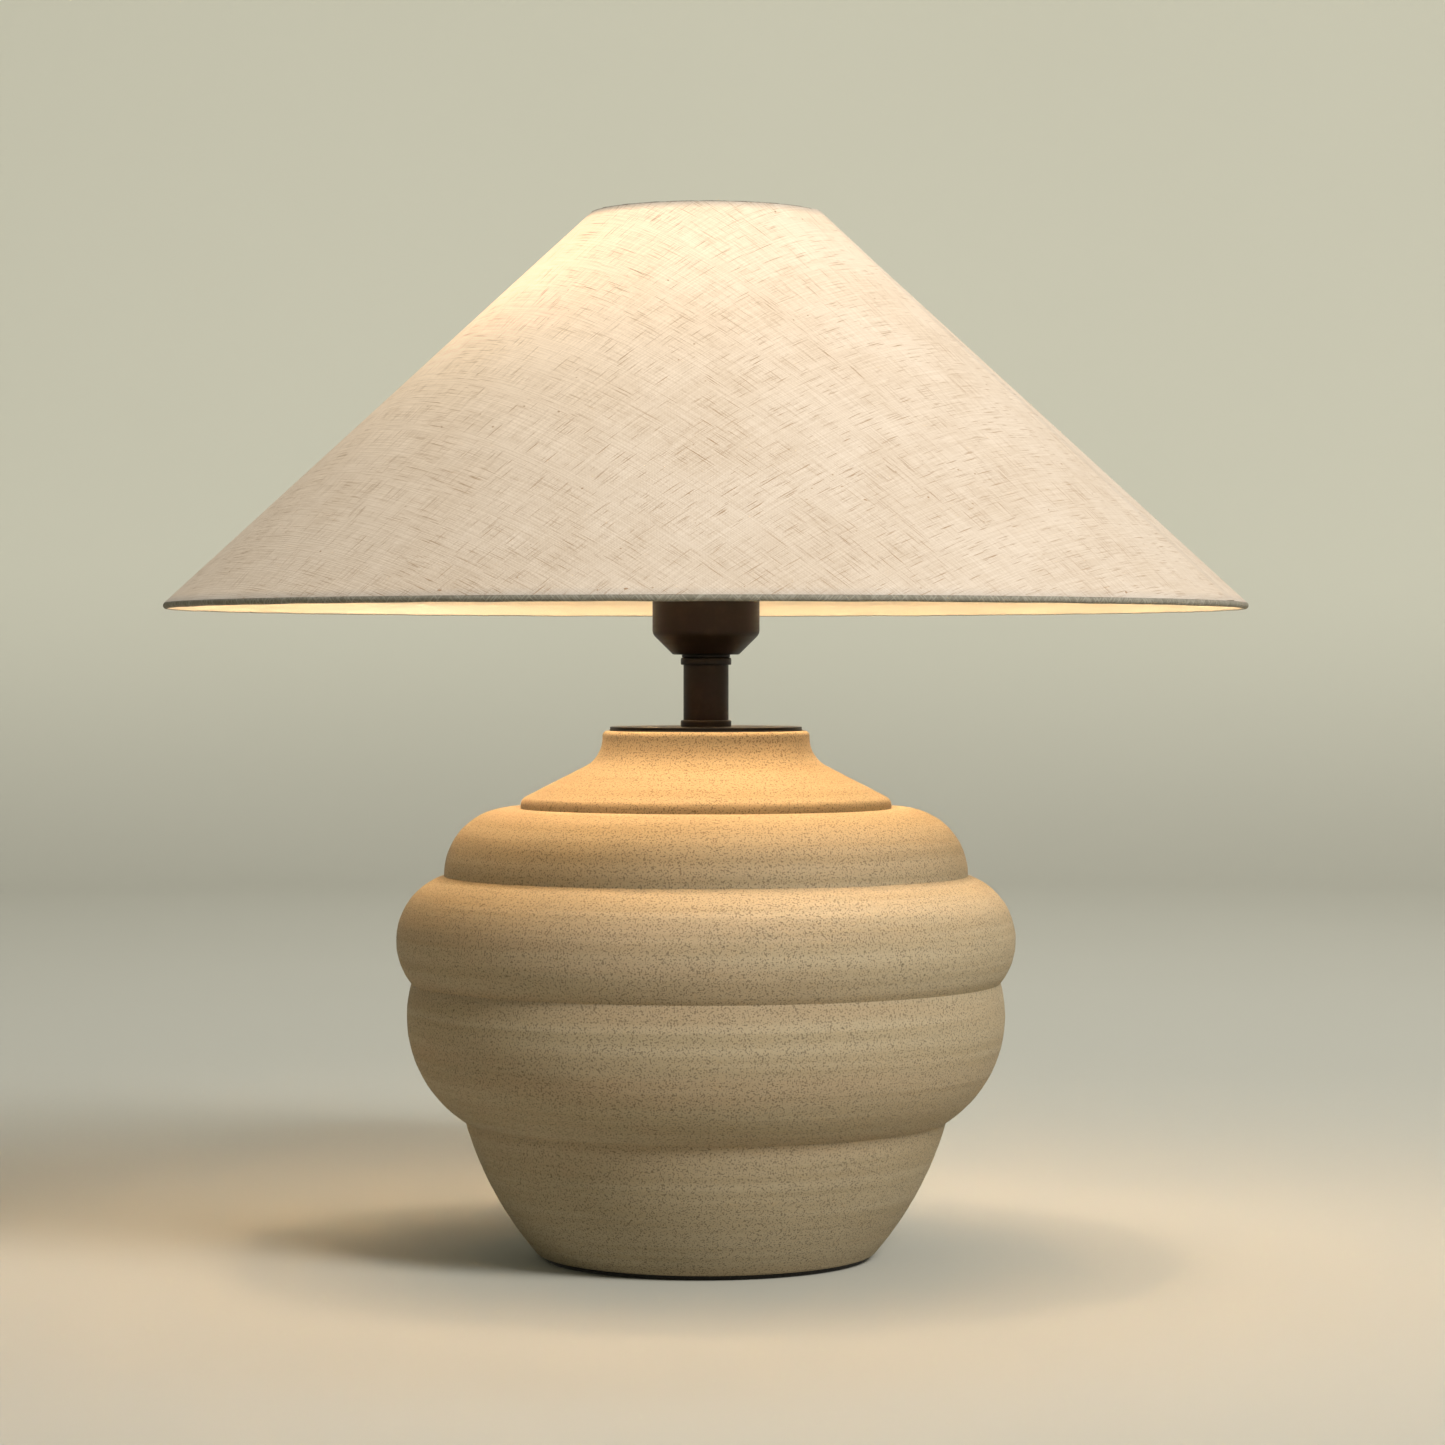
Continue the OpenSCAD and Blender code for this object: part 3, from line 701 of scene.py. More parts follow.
def eased(corners: Sequence[Sequence[float]], cuts: float | Sequence[float], steps: int = 5) -> Array:
    """A closed outline with its corners eased.

    Each corner becomes a quadratic curve that starts and ends a set distance before and after it, or
    0.45 of the way along a side that is too short for that.

    Args:
        corners: The outline's corners, radius and height.
        cuts: How far from a corner its curve starts, for all corners or for each.
        steps: How many pieces each curve has.

    Returns:
        One row per point.
    """
    points = np.array(corners, float)
    cut = np.broadcast_to(np.array(cuts, float).reshape(-1, 1), (len(points), 1))
    before, after = np.roll(points, 1, 0) - points, np.roll(points, -1, 0) - points
    reach_before, reach_after = (np.linalg.norm(way, axis=1, keepdims=True) for way in (before, after))
    start = points + before / reach_before * np.minimum(cut, reach_before * 0.45)
    end = points + after / reach_after * np.minimum(cut, reach_after * 0.45)
    share = np.linspace(0, 1, steps + 1)[None, :, None]
    curve = (1 - share) ** 2 * start[:, None] + 2 * share * (1 - share) * points[:, None]
    return (curve + share**2 * end[:, None]).reshape(-1, 2)


def revolved(radius: Array, height: Array, turns: Array) -> Array:
    """Points round the lamp's axis, where a turn of 0 faces the front and a quarter turn the right.

    x is the radius times the sine of the turn, in radians, y is minus the radius times its cosine, and
    z is the height. The three arrays broadcast, and the coordinates come last.
    """
    radius, height, turns = np.broadcast_arrays(radius, height, turns)
    return np.stack([radius * np.sin(turns), -radius * np.cos(turns), height], -1)


def once_round(segments: int) -> Array:
    """The angles of evenly spaced steps once round the axis, in radians."""
    return np.arange(segments) * 2 * math.pi / segments


def smooth_step(values: Array) -> Array:
    """A smooth step: the values kept from 0 to 1, squared, times three less twice themselves."""
    share = np.clip(values, 0, 1)
    return share * share * (3 - 2 * share)


def grid_faces(rows: int, columns: int, closed_rows: bool, closed_columns: bool) -> Array:
    """The quads of a grid of points, which are numbered along each row in turn.

    Args:
        rows: How many rows of points there are.
        columns: How many points a row has.
        closed_rows: Whether the last row joins the first.
        closed_columns: Whether each row's last point joins its first.

    Returns:
        Four point numbers for each quad.
    """
    index = np.arange(rows * columns).reshape(rows, columns)
    if closed_rows:
        index = np.vstack([index, index[:1]])
    if closed_columns:
        index = np.hstack([index, index[:, :1]])
    return np.stack([index[:-1, :-1], index[:-1, 1:], index[1:, 1:], index[1:, :-1]], -1).reshape(-1, 4)


def facing_out(points: Array, faces: Array) -> Array:
    """The faces of a closed form, turned round if its volume comes out negative.

    The volume is a sixth of the sum, over the triangles of the faces, of each corner's position dotted
    with the cross product of the next two.

    Args:
        points: The form's points.
        faces: Its quads.

    Returns:
        The quads, with their normals outwards.
    """
    a, b, c, d = (points[faces[:, corner]] for corner in range(4))
    volume = np.einsum("ij,ij->", a, np.cross(b, c)) + np.einsum("ij,ij->", a, np.cross(c, d))
    return faces if volume > 0 else faces[:, ::-1]


def linked(name: str, data: bpy.types.ID) -> Object:
    """Puts a mesh, a light or a camera in the scene.

    Args:
        name: The new object's name.
        data: What it holds.

    Returns:
        The new object.
    """
    holder = bpy.data.objects.new(name, data)
    bpy.context.scene.collection.objects.link(holder)
    return holder


def piece_of(
    name: str, points: Array, faces: Array, cloth: Array | None = None, crease: float = 40
) -> Object:
    """Makes a smooth-shaded object from arrays.

    Args:
        name: The piece's name.
        points: Its points, in metres, in the lamp's frame.
        faces: Its quads.
        cloth: For cloth, where each point lies in the flat cut.
        crease: The angle in degrees from which an edge stays sharp.

    Returns:
        The new object, at the origin.
    """
    faces = facing_out(points, faces)
    mesh = bpy.data.meshes.new(name)
    mesh.from_pydata(points.tolist(), [], faces.tolist())
    if cloth is not None:
        layer = mesh.uv_layers.new(name=CLOTH_MAP)
        layer.data.foreach_set("uv", cloth[faces].astype(np.float32).ravel())
    mesh.shade_smooth()
    mesh.set_sharp_from_angle(angle=math.radians(crease))
    mesh.validate()
    return linked(name, mesh)


def turned(name: str, outline: Array, segments: int = 128) -> Object:
    """A solid turned on a lathe: a closed outline, clear of the lamp's axis, carried round it."""
    points = revolved(outline[:, :1], outline[:, 1:], once_round(segments)[None, :]).reshape(-1, 3)
    return piece_of(name, points, grid_faces(len(outline), segments, True, True))


def strip(name: str, outer: Array, inner: Array, cloth: Array) -> Object:
    """A closed thin shell between two matching grids of points, such as the two faces of cloth.

    The rows of the outer face are followed by those of the inner one in reverse, as one closed tube,
    and a row of quads between the faces closes each end.

    Args:
        name: The piece's name.
        outer: The outer face's points, by row and column.
        inner: The inner face's points, by row and column.
        cloth: Where each of the outer face's points lies in the flat cut, by row and column.

    Returns:
        The new object.
    """
    rows, columns = outer.shape[:2]
    points = np.concatenate([outer, inner[::-1]]).reshape(-1, 3)
    places = np.concatenate([cloth, cloth[::-1]]).reshape(-1, 2)
    index = np.arange(2 * rows * columns).reshape(2 * rows, columns)
    front, back = index[:rows], index[rows:][::-1]
    first = np.stack([front[:-1, 0], front[1:, 0], back[1:, 0], back[:-1, 0]], -1)
    last = np.stack([front[:-1, -1], back[:-1, -1], back[1:, -1], front[1:, -1]], -1)
    faces = np.concatenate([grid_faces(2 * rows, columns, True, False), first, last])
    return piece_of(name, points, faces, places)


def carry(piece: Object, name: str, values: Array) -> None:
    """Gives each point of a piece a number of its own, in the points' order."""
    holder = piece.data.attributes.new(name, "FLOAT", "POINT")
    holder.data.foreach_set("value", values.astype(np.float32).ravel())


def close_poles(piece: Object) -> None:
    """Merges the points that meet on the axis, so that a turned piece is closed there.

    Args:
        piece: The piece, which is changed.
    """
    form = bmesh.new()
    form.from_mesh(piece.data)
    bmesh.ops.remove_doubles(form, verts=form.verts, dist=POLE_GAP)
    form.to_mesh(piece.data)
    form.free()


# ---------------------------------------------------------------------------
# Sub-assemblies
# ---------------------------------------------------------------------------


class Finisher:
    """Makes each slot's material once and puts it on pieces and on the frame's own nodes."""

    def __init__(self) -> None:
        """Makes the materials."""
        self.materials = {slot: finish.material() for slot, finish in FINISHES.items()}
        self.hem = Hem().material()

    def dress(
        self,
        piece: Object,
        slot: Slot,
        body: Body,
        *nodes: str,
        material: bpy.types.Material | None = None,
    ) -> Object:
        """Finishes a new piece.

        Args:
            piece: The piece.
            slot: The record's slot that it takes its finish from.
            body: The body that it rides on.
            nodes: The frame's nodes that it stands for.
            material: A material of its own, in place of the slot's.

        Returns:
            The piece.
        """
        piece.data.materials.clear()
        piece.data.materials.append(material or self.materials[slot])
        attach(piece, body.value)
        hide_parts(*nodes)
        log.info("%s stands for %s, in %s", piece.name, ", ".join(nodes), slot.value)
        return piece

    def dress_frame(self) -> None:
        """Gives every node of the frame the material of its own slot."""
        for part in frame["record"]["subparts"]:
            node = frame["nodes"][part["node"]]
            for holder in node.material_slots:
                holder.material = self.materials[Slot(part["material_slot"])]


@dataclass
class Pot:
    """The hollow stoneware body, with throwing marks on it, and the felt pad under it.

    A rib is given by the radius and the height of the groove over it, and by how far its arc stands
    out. A ripple is given by its pitch in millimetres, how often it winds round and its share.
    """

    finisher: Finisher
    foot_r: float = 71 * MM
    foot_round: float = 1.5 * MM
    foot_top: Triple = (100.6 * MM, 55.6 * MM, 3.3 * MM)
    low_rib: Triple = (123 * MM, 113.3 * MM, 10.3 * MM)
    middle_rib: Triple = (109.4 * MM, 157.8 * MM, 12.4 * MM)
    top_rib: Triple = (77.5 * MM, 185.8 * MM, 9.8 * MM)
    shoulder_lip: float = 1.3 * MM
    shoulder_round: float = 4 * MM
    shoulder_slope: float = 27.0
    neck_r: float = 43.3 * MM
    neck_flare: float = 13.5 * MM
    neck_round: float = 2 * MM
    wall: float = 7.5 * MM
    recess_h: float = 34 * MM
    floor_t: float = 8 * MM
    rod_hole_r: float = 6.1 * MM
    hole_r: float = 5 * MM
    seat_r: float = 6.9 * MM
    seat_depth: float = 0.8 * MM
    inlet_h: float = 12 * MM
    floor_spread: float = 8 * MM
    felt_round: float = 0.6 * MM
    felt_wander: float = 0.0015
    ripple: float = 0.022 * MM
    ripples: tuple[Triple, ...] = ((2.3, 1, 0.5), (3.7, 1, 0.8), (6.1, 2, 1.0), (11.9, 1, 1.4))
    ripple_fade: float = 12 * MM
    seed: int = 7
    crease: float = 20
    edge_steps: int = 4
    arc_steps: tuple[int, ...] = (40, 56, 56, 44)
    inner_steps: int = 14
    round_steps: int = 8
    flare_steps: int = 22
    hole_sides: int = 48
    segments: int = 176
    base_z: float = field(init=False)
    height: float = field(init=False)

    def __post_init__(self) -> None:
        """Reads where the body stands and how high it is from the frame."""
        low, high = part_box("ceramic_body")
        self.base_z = low.z
        self.height = high.z - low.z

    def outside(self) -> Array:
        """The outline of the outside, from the underside of the foot up to the inner edge of the neck.

        The foot and the three ribs are circular arcs between groove points, the shoulder is a small
        arc and a straight slope, and the neck flares out into the slope on an arc that both touch.

        Returns:
            One row per point, radius and height over the foot.
        """
        rise = 90 - self.shoulder_slope
        edge = (self.foot_r + self.foot_round / 2, self.foot_round)
        nose = np.array([self.top_rib[0] - self.shoulder_round, self.top_rib[1] + self.shoulder_lip])
        turn = math.radians(rise)
        slope_foot = nose + self.shoulder_round * np.array([math.cos(turn), math.sin(turn)])
        flare_r = self.neck_r + self.neck_flare * (1 - math.cos(turn))
        flare_z = slope_foot[1] + (slope_foot[0] - flare_r) * math.tan(math.radians(self.shoulder_slope))
        flare = (self.neck_r + self.neck_flare, flare_z + self.neck_flare * math.sin(turn))
        rim = (self.neck_r - self.neck_round, self.height - self.neck_round)
        foot = arc_between((self.foot_r - self.foot_round, 0), edge, self.foot_round / 5, self.edge_steps)
        grooves = [edge, self.foot_top, self.low_rib, self.middle_rib, self.top_rib]
        ribs = [
            arc_between(under[:2], over[:2], over[2], steps)[1:]
            for under, over, steps in zip(grooves, grooves[1:], self.arc_steps)
        ]
        shoulder = arc_about(nose, self.shoulder_round, 0, rise, self.round_steps)[1:]
        neck = arc_about(flare, self.neck_flare, 180 + rise, 180, self.flare_steps)
        lip = arc_about(rim, self.neck_round, 0, 90, self.round_steps)
        return np.concatenate([foot, *ribs, shoulder, neck, lip])

    def inside(self) -> Array:
        """The outline of the inside, from the neck down over the floor to the recess under the foot.

        Returns:
            One row per point, radius and height over the foot.
        """
        bore = self.neck_r - self.wall - self.neck_round
        slope = math.tan(math.radians(self.shoulder_slope))
        under = self.wall / math.cos(math.radians(self.shoulder_slope))
        lip = self.top_rib[1] + self.shoulder_lip + self.shoulder_round
        shoulder = self.top_rib[0] - self.wall
        floor = self.recess_h + self.floor_t
        share = self.recess_h / self.foot_top[1]
        bulge = 3 * self.foot_top[2] * share * (1 - share)
        side = self.foot_r + (self.foot_top[0] - self.foot_r) * share + bulge
        grooves = (self.foot_top, self.low_rib, self.middle_rib)
        low, middle, top = ((groove[0] - self.wall, groove[1]) for groove in grooves)
        steps = self.inner_steps
        third = (top[0], top[1] - self.wall / 2)
        fourth = (shoulder, self.top_rib[1] - self.wall)
        stretches = [
            [(bore, lip + (shoulder - bore) * slope - under)],
            [(shoulder, lip - under)],
            arc_between(third, fourth, self.top_rib[2], steps)[::-1],
            arc_between(middle, third, self.middle_rib[2], steps)[::-1][1:],
            arc_between(low, middle, self.low_rib[2], steps)[::-1][1:],
            [(side - self.wall + self.floor_spread, floor), (self.rod_hole_r, floor)],
            [(self.rod_hole_r, self.recess_h), (side - self.wall, self.recess_h)],
            [(self.foot_r - self.wall, 0)],
        ]
        return np.concatenate([np.array(stretch, float) for stretch in stretches])

    def thrown(self) -> Object:
        """The body with throwing marks.

        Each point of the outside is moved along the outline's normal by a sum of sines of the distance
        along the outline. Each sine has its own pitch and phase and winds once or twice round the body,
        as the potter's finger does, and all fade out at the foot and at the neck.

        Returns:
            The new object, without its cord hole.
        """
        outer, inner = self.outside(), self.inside()
        outline = np.concatenate([outer, inner])
        way = np.gradient(outer, axis=0)
        normal = np.stack([way[:, 1], -way[:, 0]], 1) / np.linalg.norm(way, axis=1, keepdims=True)
        run = np.concatenate([[0], np.cumsum(np.linalg.norm(np.diff(outer, axis=0), axis=1))])
        turns = once_round(self.segments)
        pitches, winds, sizes = np.array(self.ripples).T
        phases = np.random.default_rng(self.seed).uniform(0, 2 * math.pi, len(pitches))
        waves = 2 * math.pi * run[:, None, None] / (pitches * MM) + winds * turns[None, :, None] + phases
        fade = np.clip(np.minimum(run, run[-1] - run) / self.ripple_fade, 0, 1)
        offset = self.ripple * fade[:, None] * (np.sin(waves) * sizes).sum(-1)
        radius = np.repeat(outline[:, :1], self.segments, 1)
        height = np.repeat(outline[:, 1:], self.segments, 1) + self.base_z
        radius[: len(outer)] += offset * normal[:, :1]
        height[: len(outer)] += offset * normal[:, 1:]
        points = revolved(radius, height, turns[None, :]).reshape(-1, 3)
        faces = grid_faces(len(outline), self.segments, True, True)
        return piece_of("stoneware_body", points, faces, crease=self.crease)

    def bored(self, body: Object) -> None:
        """Cuts the cord hole and the grommet's seat into the back of the foot.

        Args:
            body: The body, which is changed.
        """
        mount = next(m for m in frame["record"]["mounts"] if m["name"] == "cord_inlet")
        out = Vector(mount["axis"])
        outer = self.outside()[: self.arc_steps[0]]
        face = Vector((0, np.interp(self.inlet_h, outer[:, 1], outer[:, 0]), self.base_z + self.inlet_h))
        hole = (self.hole_r, -2 * self.wall, 3 * self.wall)
        seat = (self.seat_r, -self.seat_depth, self.wall)
        for radius, start, length in (hole, seat):
            middle = face + out * (start + length / 2)
            size = {"vertices": self.hole_sides, "radius": radius, "depth": length}
            bpy.ops.mesh.primitive_cylinder_add(location=middle, **size)
            cutter = bpy.context.object
            cutter.rotation_euler = out.to_track_quat("Z", "Y").to_euler()
            cut = body.modifiers.new("cord_hole", "BOOLEAN")
            cut.object = cutter
            bpy.context.view_layer.update()
            solid = body.evaluated_get(bpy.context.evaluated_depsgraph_get())
            mesh = bpy.data.meshes.new_from_object(solid)
            body.modifiers.clear()
            body.data = mesh
            bpy.data.objects.remove(cutter)
        body.data.shade_smooth()
        body.data.set_sharp_from_angle(angle=math.radians(self.crease))

    def pad(self) -> Object:
        """The felt disc glued under the foot.

        Its radius at an angle is that of the frame's pad plus two slow sines, as hand-cut felt has, and
        its outline is a flat disc with an eased edge, closed at the middle.

        Returns:
            The new object.
        """
        low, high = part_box("base_pad")
        edge = eased([(0, low.z), (high.x, low.z), (high.x, high.z), (0, high.z)], self.felt_round)
        edge = edge[edge[:, 0] > high.x / 2]
        under, over = ([(0, z), (high.x / 2, z)] for z in (low.z, high.z))
        profile = np.concatenate([under, edge, over[::-1]])
        turns = once_round(self.segments)
        wander = 1 - self.felt_wander * (1 + 0.5 * (np.sin(3 * turns) + np.sin(7 * turns + 1)))
        points = revolved(profile[:, :1] * wander, profile[:, 1:], turns[None, :]).reshape(-1, 3)
        piece = piece_of("felt_pad", points, grid_faces(len(profile), self.segments, False, True))
        close_poles(piece)
        return piece

    def build(self) -> None:
        """Makes and dresses the body and its pad."""
        body = self.thrown()
        self.bored(body)
        self.finisher.dress(body, Slot.STONEWARE, Body.LAMP, "ceramic_body")
        pad = self.pad()
        self.finisher.dress(pad, Slot.FELT, Body.LAMP, "base_pad")


@dataclass
class Metalwork:
    """The disc on the neck, the stem with its two collars and the lampholder's cup, turned in one finish."""

    finisher: Finisher
    bore_r: float = 5.1 * MM
    edge: float = 0.25 * MM
    rim_r: float = 33.3 * MM
    rim_t: float = 1.2 * MM
    cap_t: float = 1.2 * MM
    socket_r: float = 9.5 * MM
    socket_floor: float = 1 * MM
    low_round: float = 0.8 * MM
    bead_h: float = 2.9 * MM
    bead_round: float = 1.1 * MM
    disc_r: float = 10.1 * MM
    groove: float = 0.4 * MM
    tube_wall: float = 1.5 * MM
    cup_flat_r: float = 13.8 * MM
    cup_t: float = 1 * MM
    cup_round: float = 1.7 * MM
    cup_foot_round: float = 0.6 * MM
    groove_round: float = 0.1 * MM

    def cap(self) -> Array:
        """The outline of the disc, which has a rim under it that centres it in the neck.

        Returns:
            One row per point, radius and height.
        """
        low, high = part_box("neck_cap")
        under = high.z - self.cap_t
        inner = self.rim_r - self.rim_t
        corners = [
            *((self.bore_r, high.z), (high.x, high.z), (high.x, under), (self.rim_r, under)),
            *((self.rim_r, low.z), (inner, low.z), (inner, under), (self.bore_r, under)),
        ]
        return eased(corners, self.edge)

    def lower_collar(self) -> Array:
        """The outline of the lower collar, a ring with a round upper edge and a socket for the tube.

        Returns:
            One row per point, radius and height.
        """
        low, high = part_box("stem_lower_collar")
        floor = low.z + self.socket_floor
        corners = [
            *((self.bore_r, low.z), (high.x, low.z), (high.x, high.z)),
            *((self.socket_r, high.z), (self.socket_r, floor), (self.bore_r, floor)),
        ]
        return eased(corners, [self.edge, self.edge, self.low_round, self.edge / 2, self.edge, self.edge])

    def upper_collar(self) -> Array:
        """The outline of the upper collar, a round bead with a groove and a flat disc over it.

        Returns:
            One row per point, radius and height.
        """
        low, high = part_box("stem_upper_collar")
        bead = low.z + self.bead_h
        floor = high.z - self.socket_floor
        corners = [
            *((self.socket_r, low.z), (high.x, low.z), (high.x, bead)),
            *((self.disc_r - self.groove, bead + self.groove / 2), (self.disc_r, bead + self.groove)),
            *((self.disc_r, high.z), (self.bore_r, high.z), (self.bore_r, floor), (self.socket_r, floor)),
        ]
        rounds = [self.edge / 2] + [self.bead_round] * 2 + [self.groove_round] * 2 + [self.edge] * 4
        return eased(corners, rounds)

    def tube(self) -> Array:
        """The outline of the stem's tube.

        Returns:
            One row per point, radius and height.
        """
        low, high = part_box("stem_tube")
        bore = high.x - self.tube_wall
        return eased([(bore, low.z), (high.x, low.z), (high.x, high.z), (bore, high.z)], self.edge)

    def cup(self) -> Array:
        """The outline of the cup, a straight wall over a bevel of half a right angle and a flat foot.

        Returns:
            One row per point, radius and height.
        """
        low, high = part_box("holder_cup")
        knee = low.z + high.x - self.cup_flat_r
        inner_r = high.x - self.cup_t
        inner_flat = self.cup_flat_r - self.cup_t * math.tan(math.pi / 8)
        floor = low.z + self.cup_t
        corners = [
            *((self.bore_r, low.z), (self.cup_flat_r, low.z), (high.x, knee), (high.x, high.z)),
            *((inner_r, high.z), (inner_r, floor + inner_r - inner_flat), (inner_flat, floor)),
            (self.bore_r, floor),
        ]
        return eased(corners, [self.edge, self.cup_foot_round, self.cup_round] + [self.edge] * 5, 8)

    def build(self) -> None:
        """Turns and dresses each fitting."""
        for name, outline, node in (
            ("neck_disc", self.cap(), "neck_cap"),
            ("lower_bead", self.lower_collar(), "stem_lower_collar"),
            ("upper_bead", self.upper_collar(), "stem_upper_collar"),
            ("stem", self.tube(), "stem_tube"),
            ("cup", self.cup(), "holder_cup"),
        ):
            self.finisher.dress(turned(name, outline), Slot.BRONZE, Body.LAMP, node)


@dataclass
class Cone:
    """The cone that the shade's cloth is stretched on, between its two rim wires."""

    wire_r: float = field(init=False)
    low: Array = field(init=False)
    top: Array = field(init=False)
    slant: float = field(init=False)
    up: Array = field(init=False)
    out: Array = field(init=False)

    def __post_init__(self) -> None:
        """Reads the wires from the frame."""
        (low_min, low_max), (top_min, top_max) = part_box("bottom_rim_wire"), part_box("top_rim_wire")
        self.wire_r = (low_max.z - low_min.z) / 2
        self.low = np.array([low_max.x - self.wire_r, (low_min.z + low_max.z) / 2])
        self.top = np.array([top_max.x - self.wire_r, (top_min.z + top_max.z) / 2])
        self.slant = float(np.linalg.norm(self.top - self.low))
        self.up = (self.top - self.low) / self.slant
        self.out = np.array([self.up[1], -self.up[0]])

    def at(self, off: Array, along: Array) -> tuple[Array, Array]:
        """Points set out from the low wire's middle, along the cone's normal and its slope.

        Args:
            off: How far the points are off the line between the wires.
            along: How far they are up it from the low wire.

        Returns:
            Their radii and their heights.
        """
        radius, height = (self.low[i] + off * self.out[i] + along * self.up[i] for i in (0, 1))
        return radius, height

    def flat(self, turns: Array, along: Array) -> Array:
        """Where a point of the cone lies in the flat cut, along the warp and the weft.

        Unrolled, the cone is part of a disc: a point is as far from its middle as it is from the cone's
        tip, and its angle is its turn times the share that the low rim's radius is of that distance.
        The cloth is cut on the bias, so warp and weft lie at half a right angle to the front's slope.

        Args:
            turns: The points' angles round the axis, 0 at the front.
            along: How far they are up the slope from the low wire.

        Returns:
            The two coordinates in metres, last.
        """
        lean = -self.up[0]
        reach = self.low[0] / lean - along
        across, down = reach * np.sin(turns * lean), reach * np.cos(turns * lean)
        return np.stack([across + down, across - down], -1) / math.sqrt(2)

    def flat_area(self) -> float:
        """The area of the flat cut: pi times the slant times the sum of the two rims' radii."""
        return math.pi * self.slant * float(self.low[0] + self.top[0])


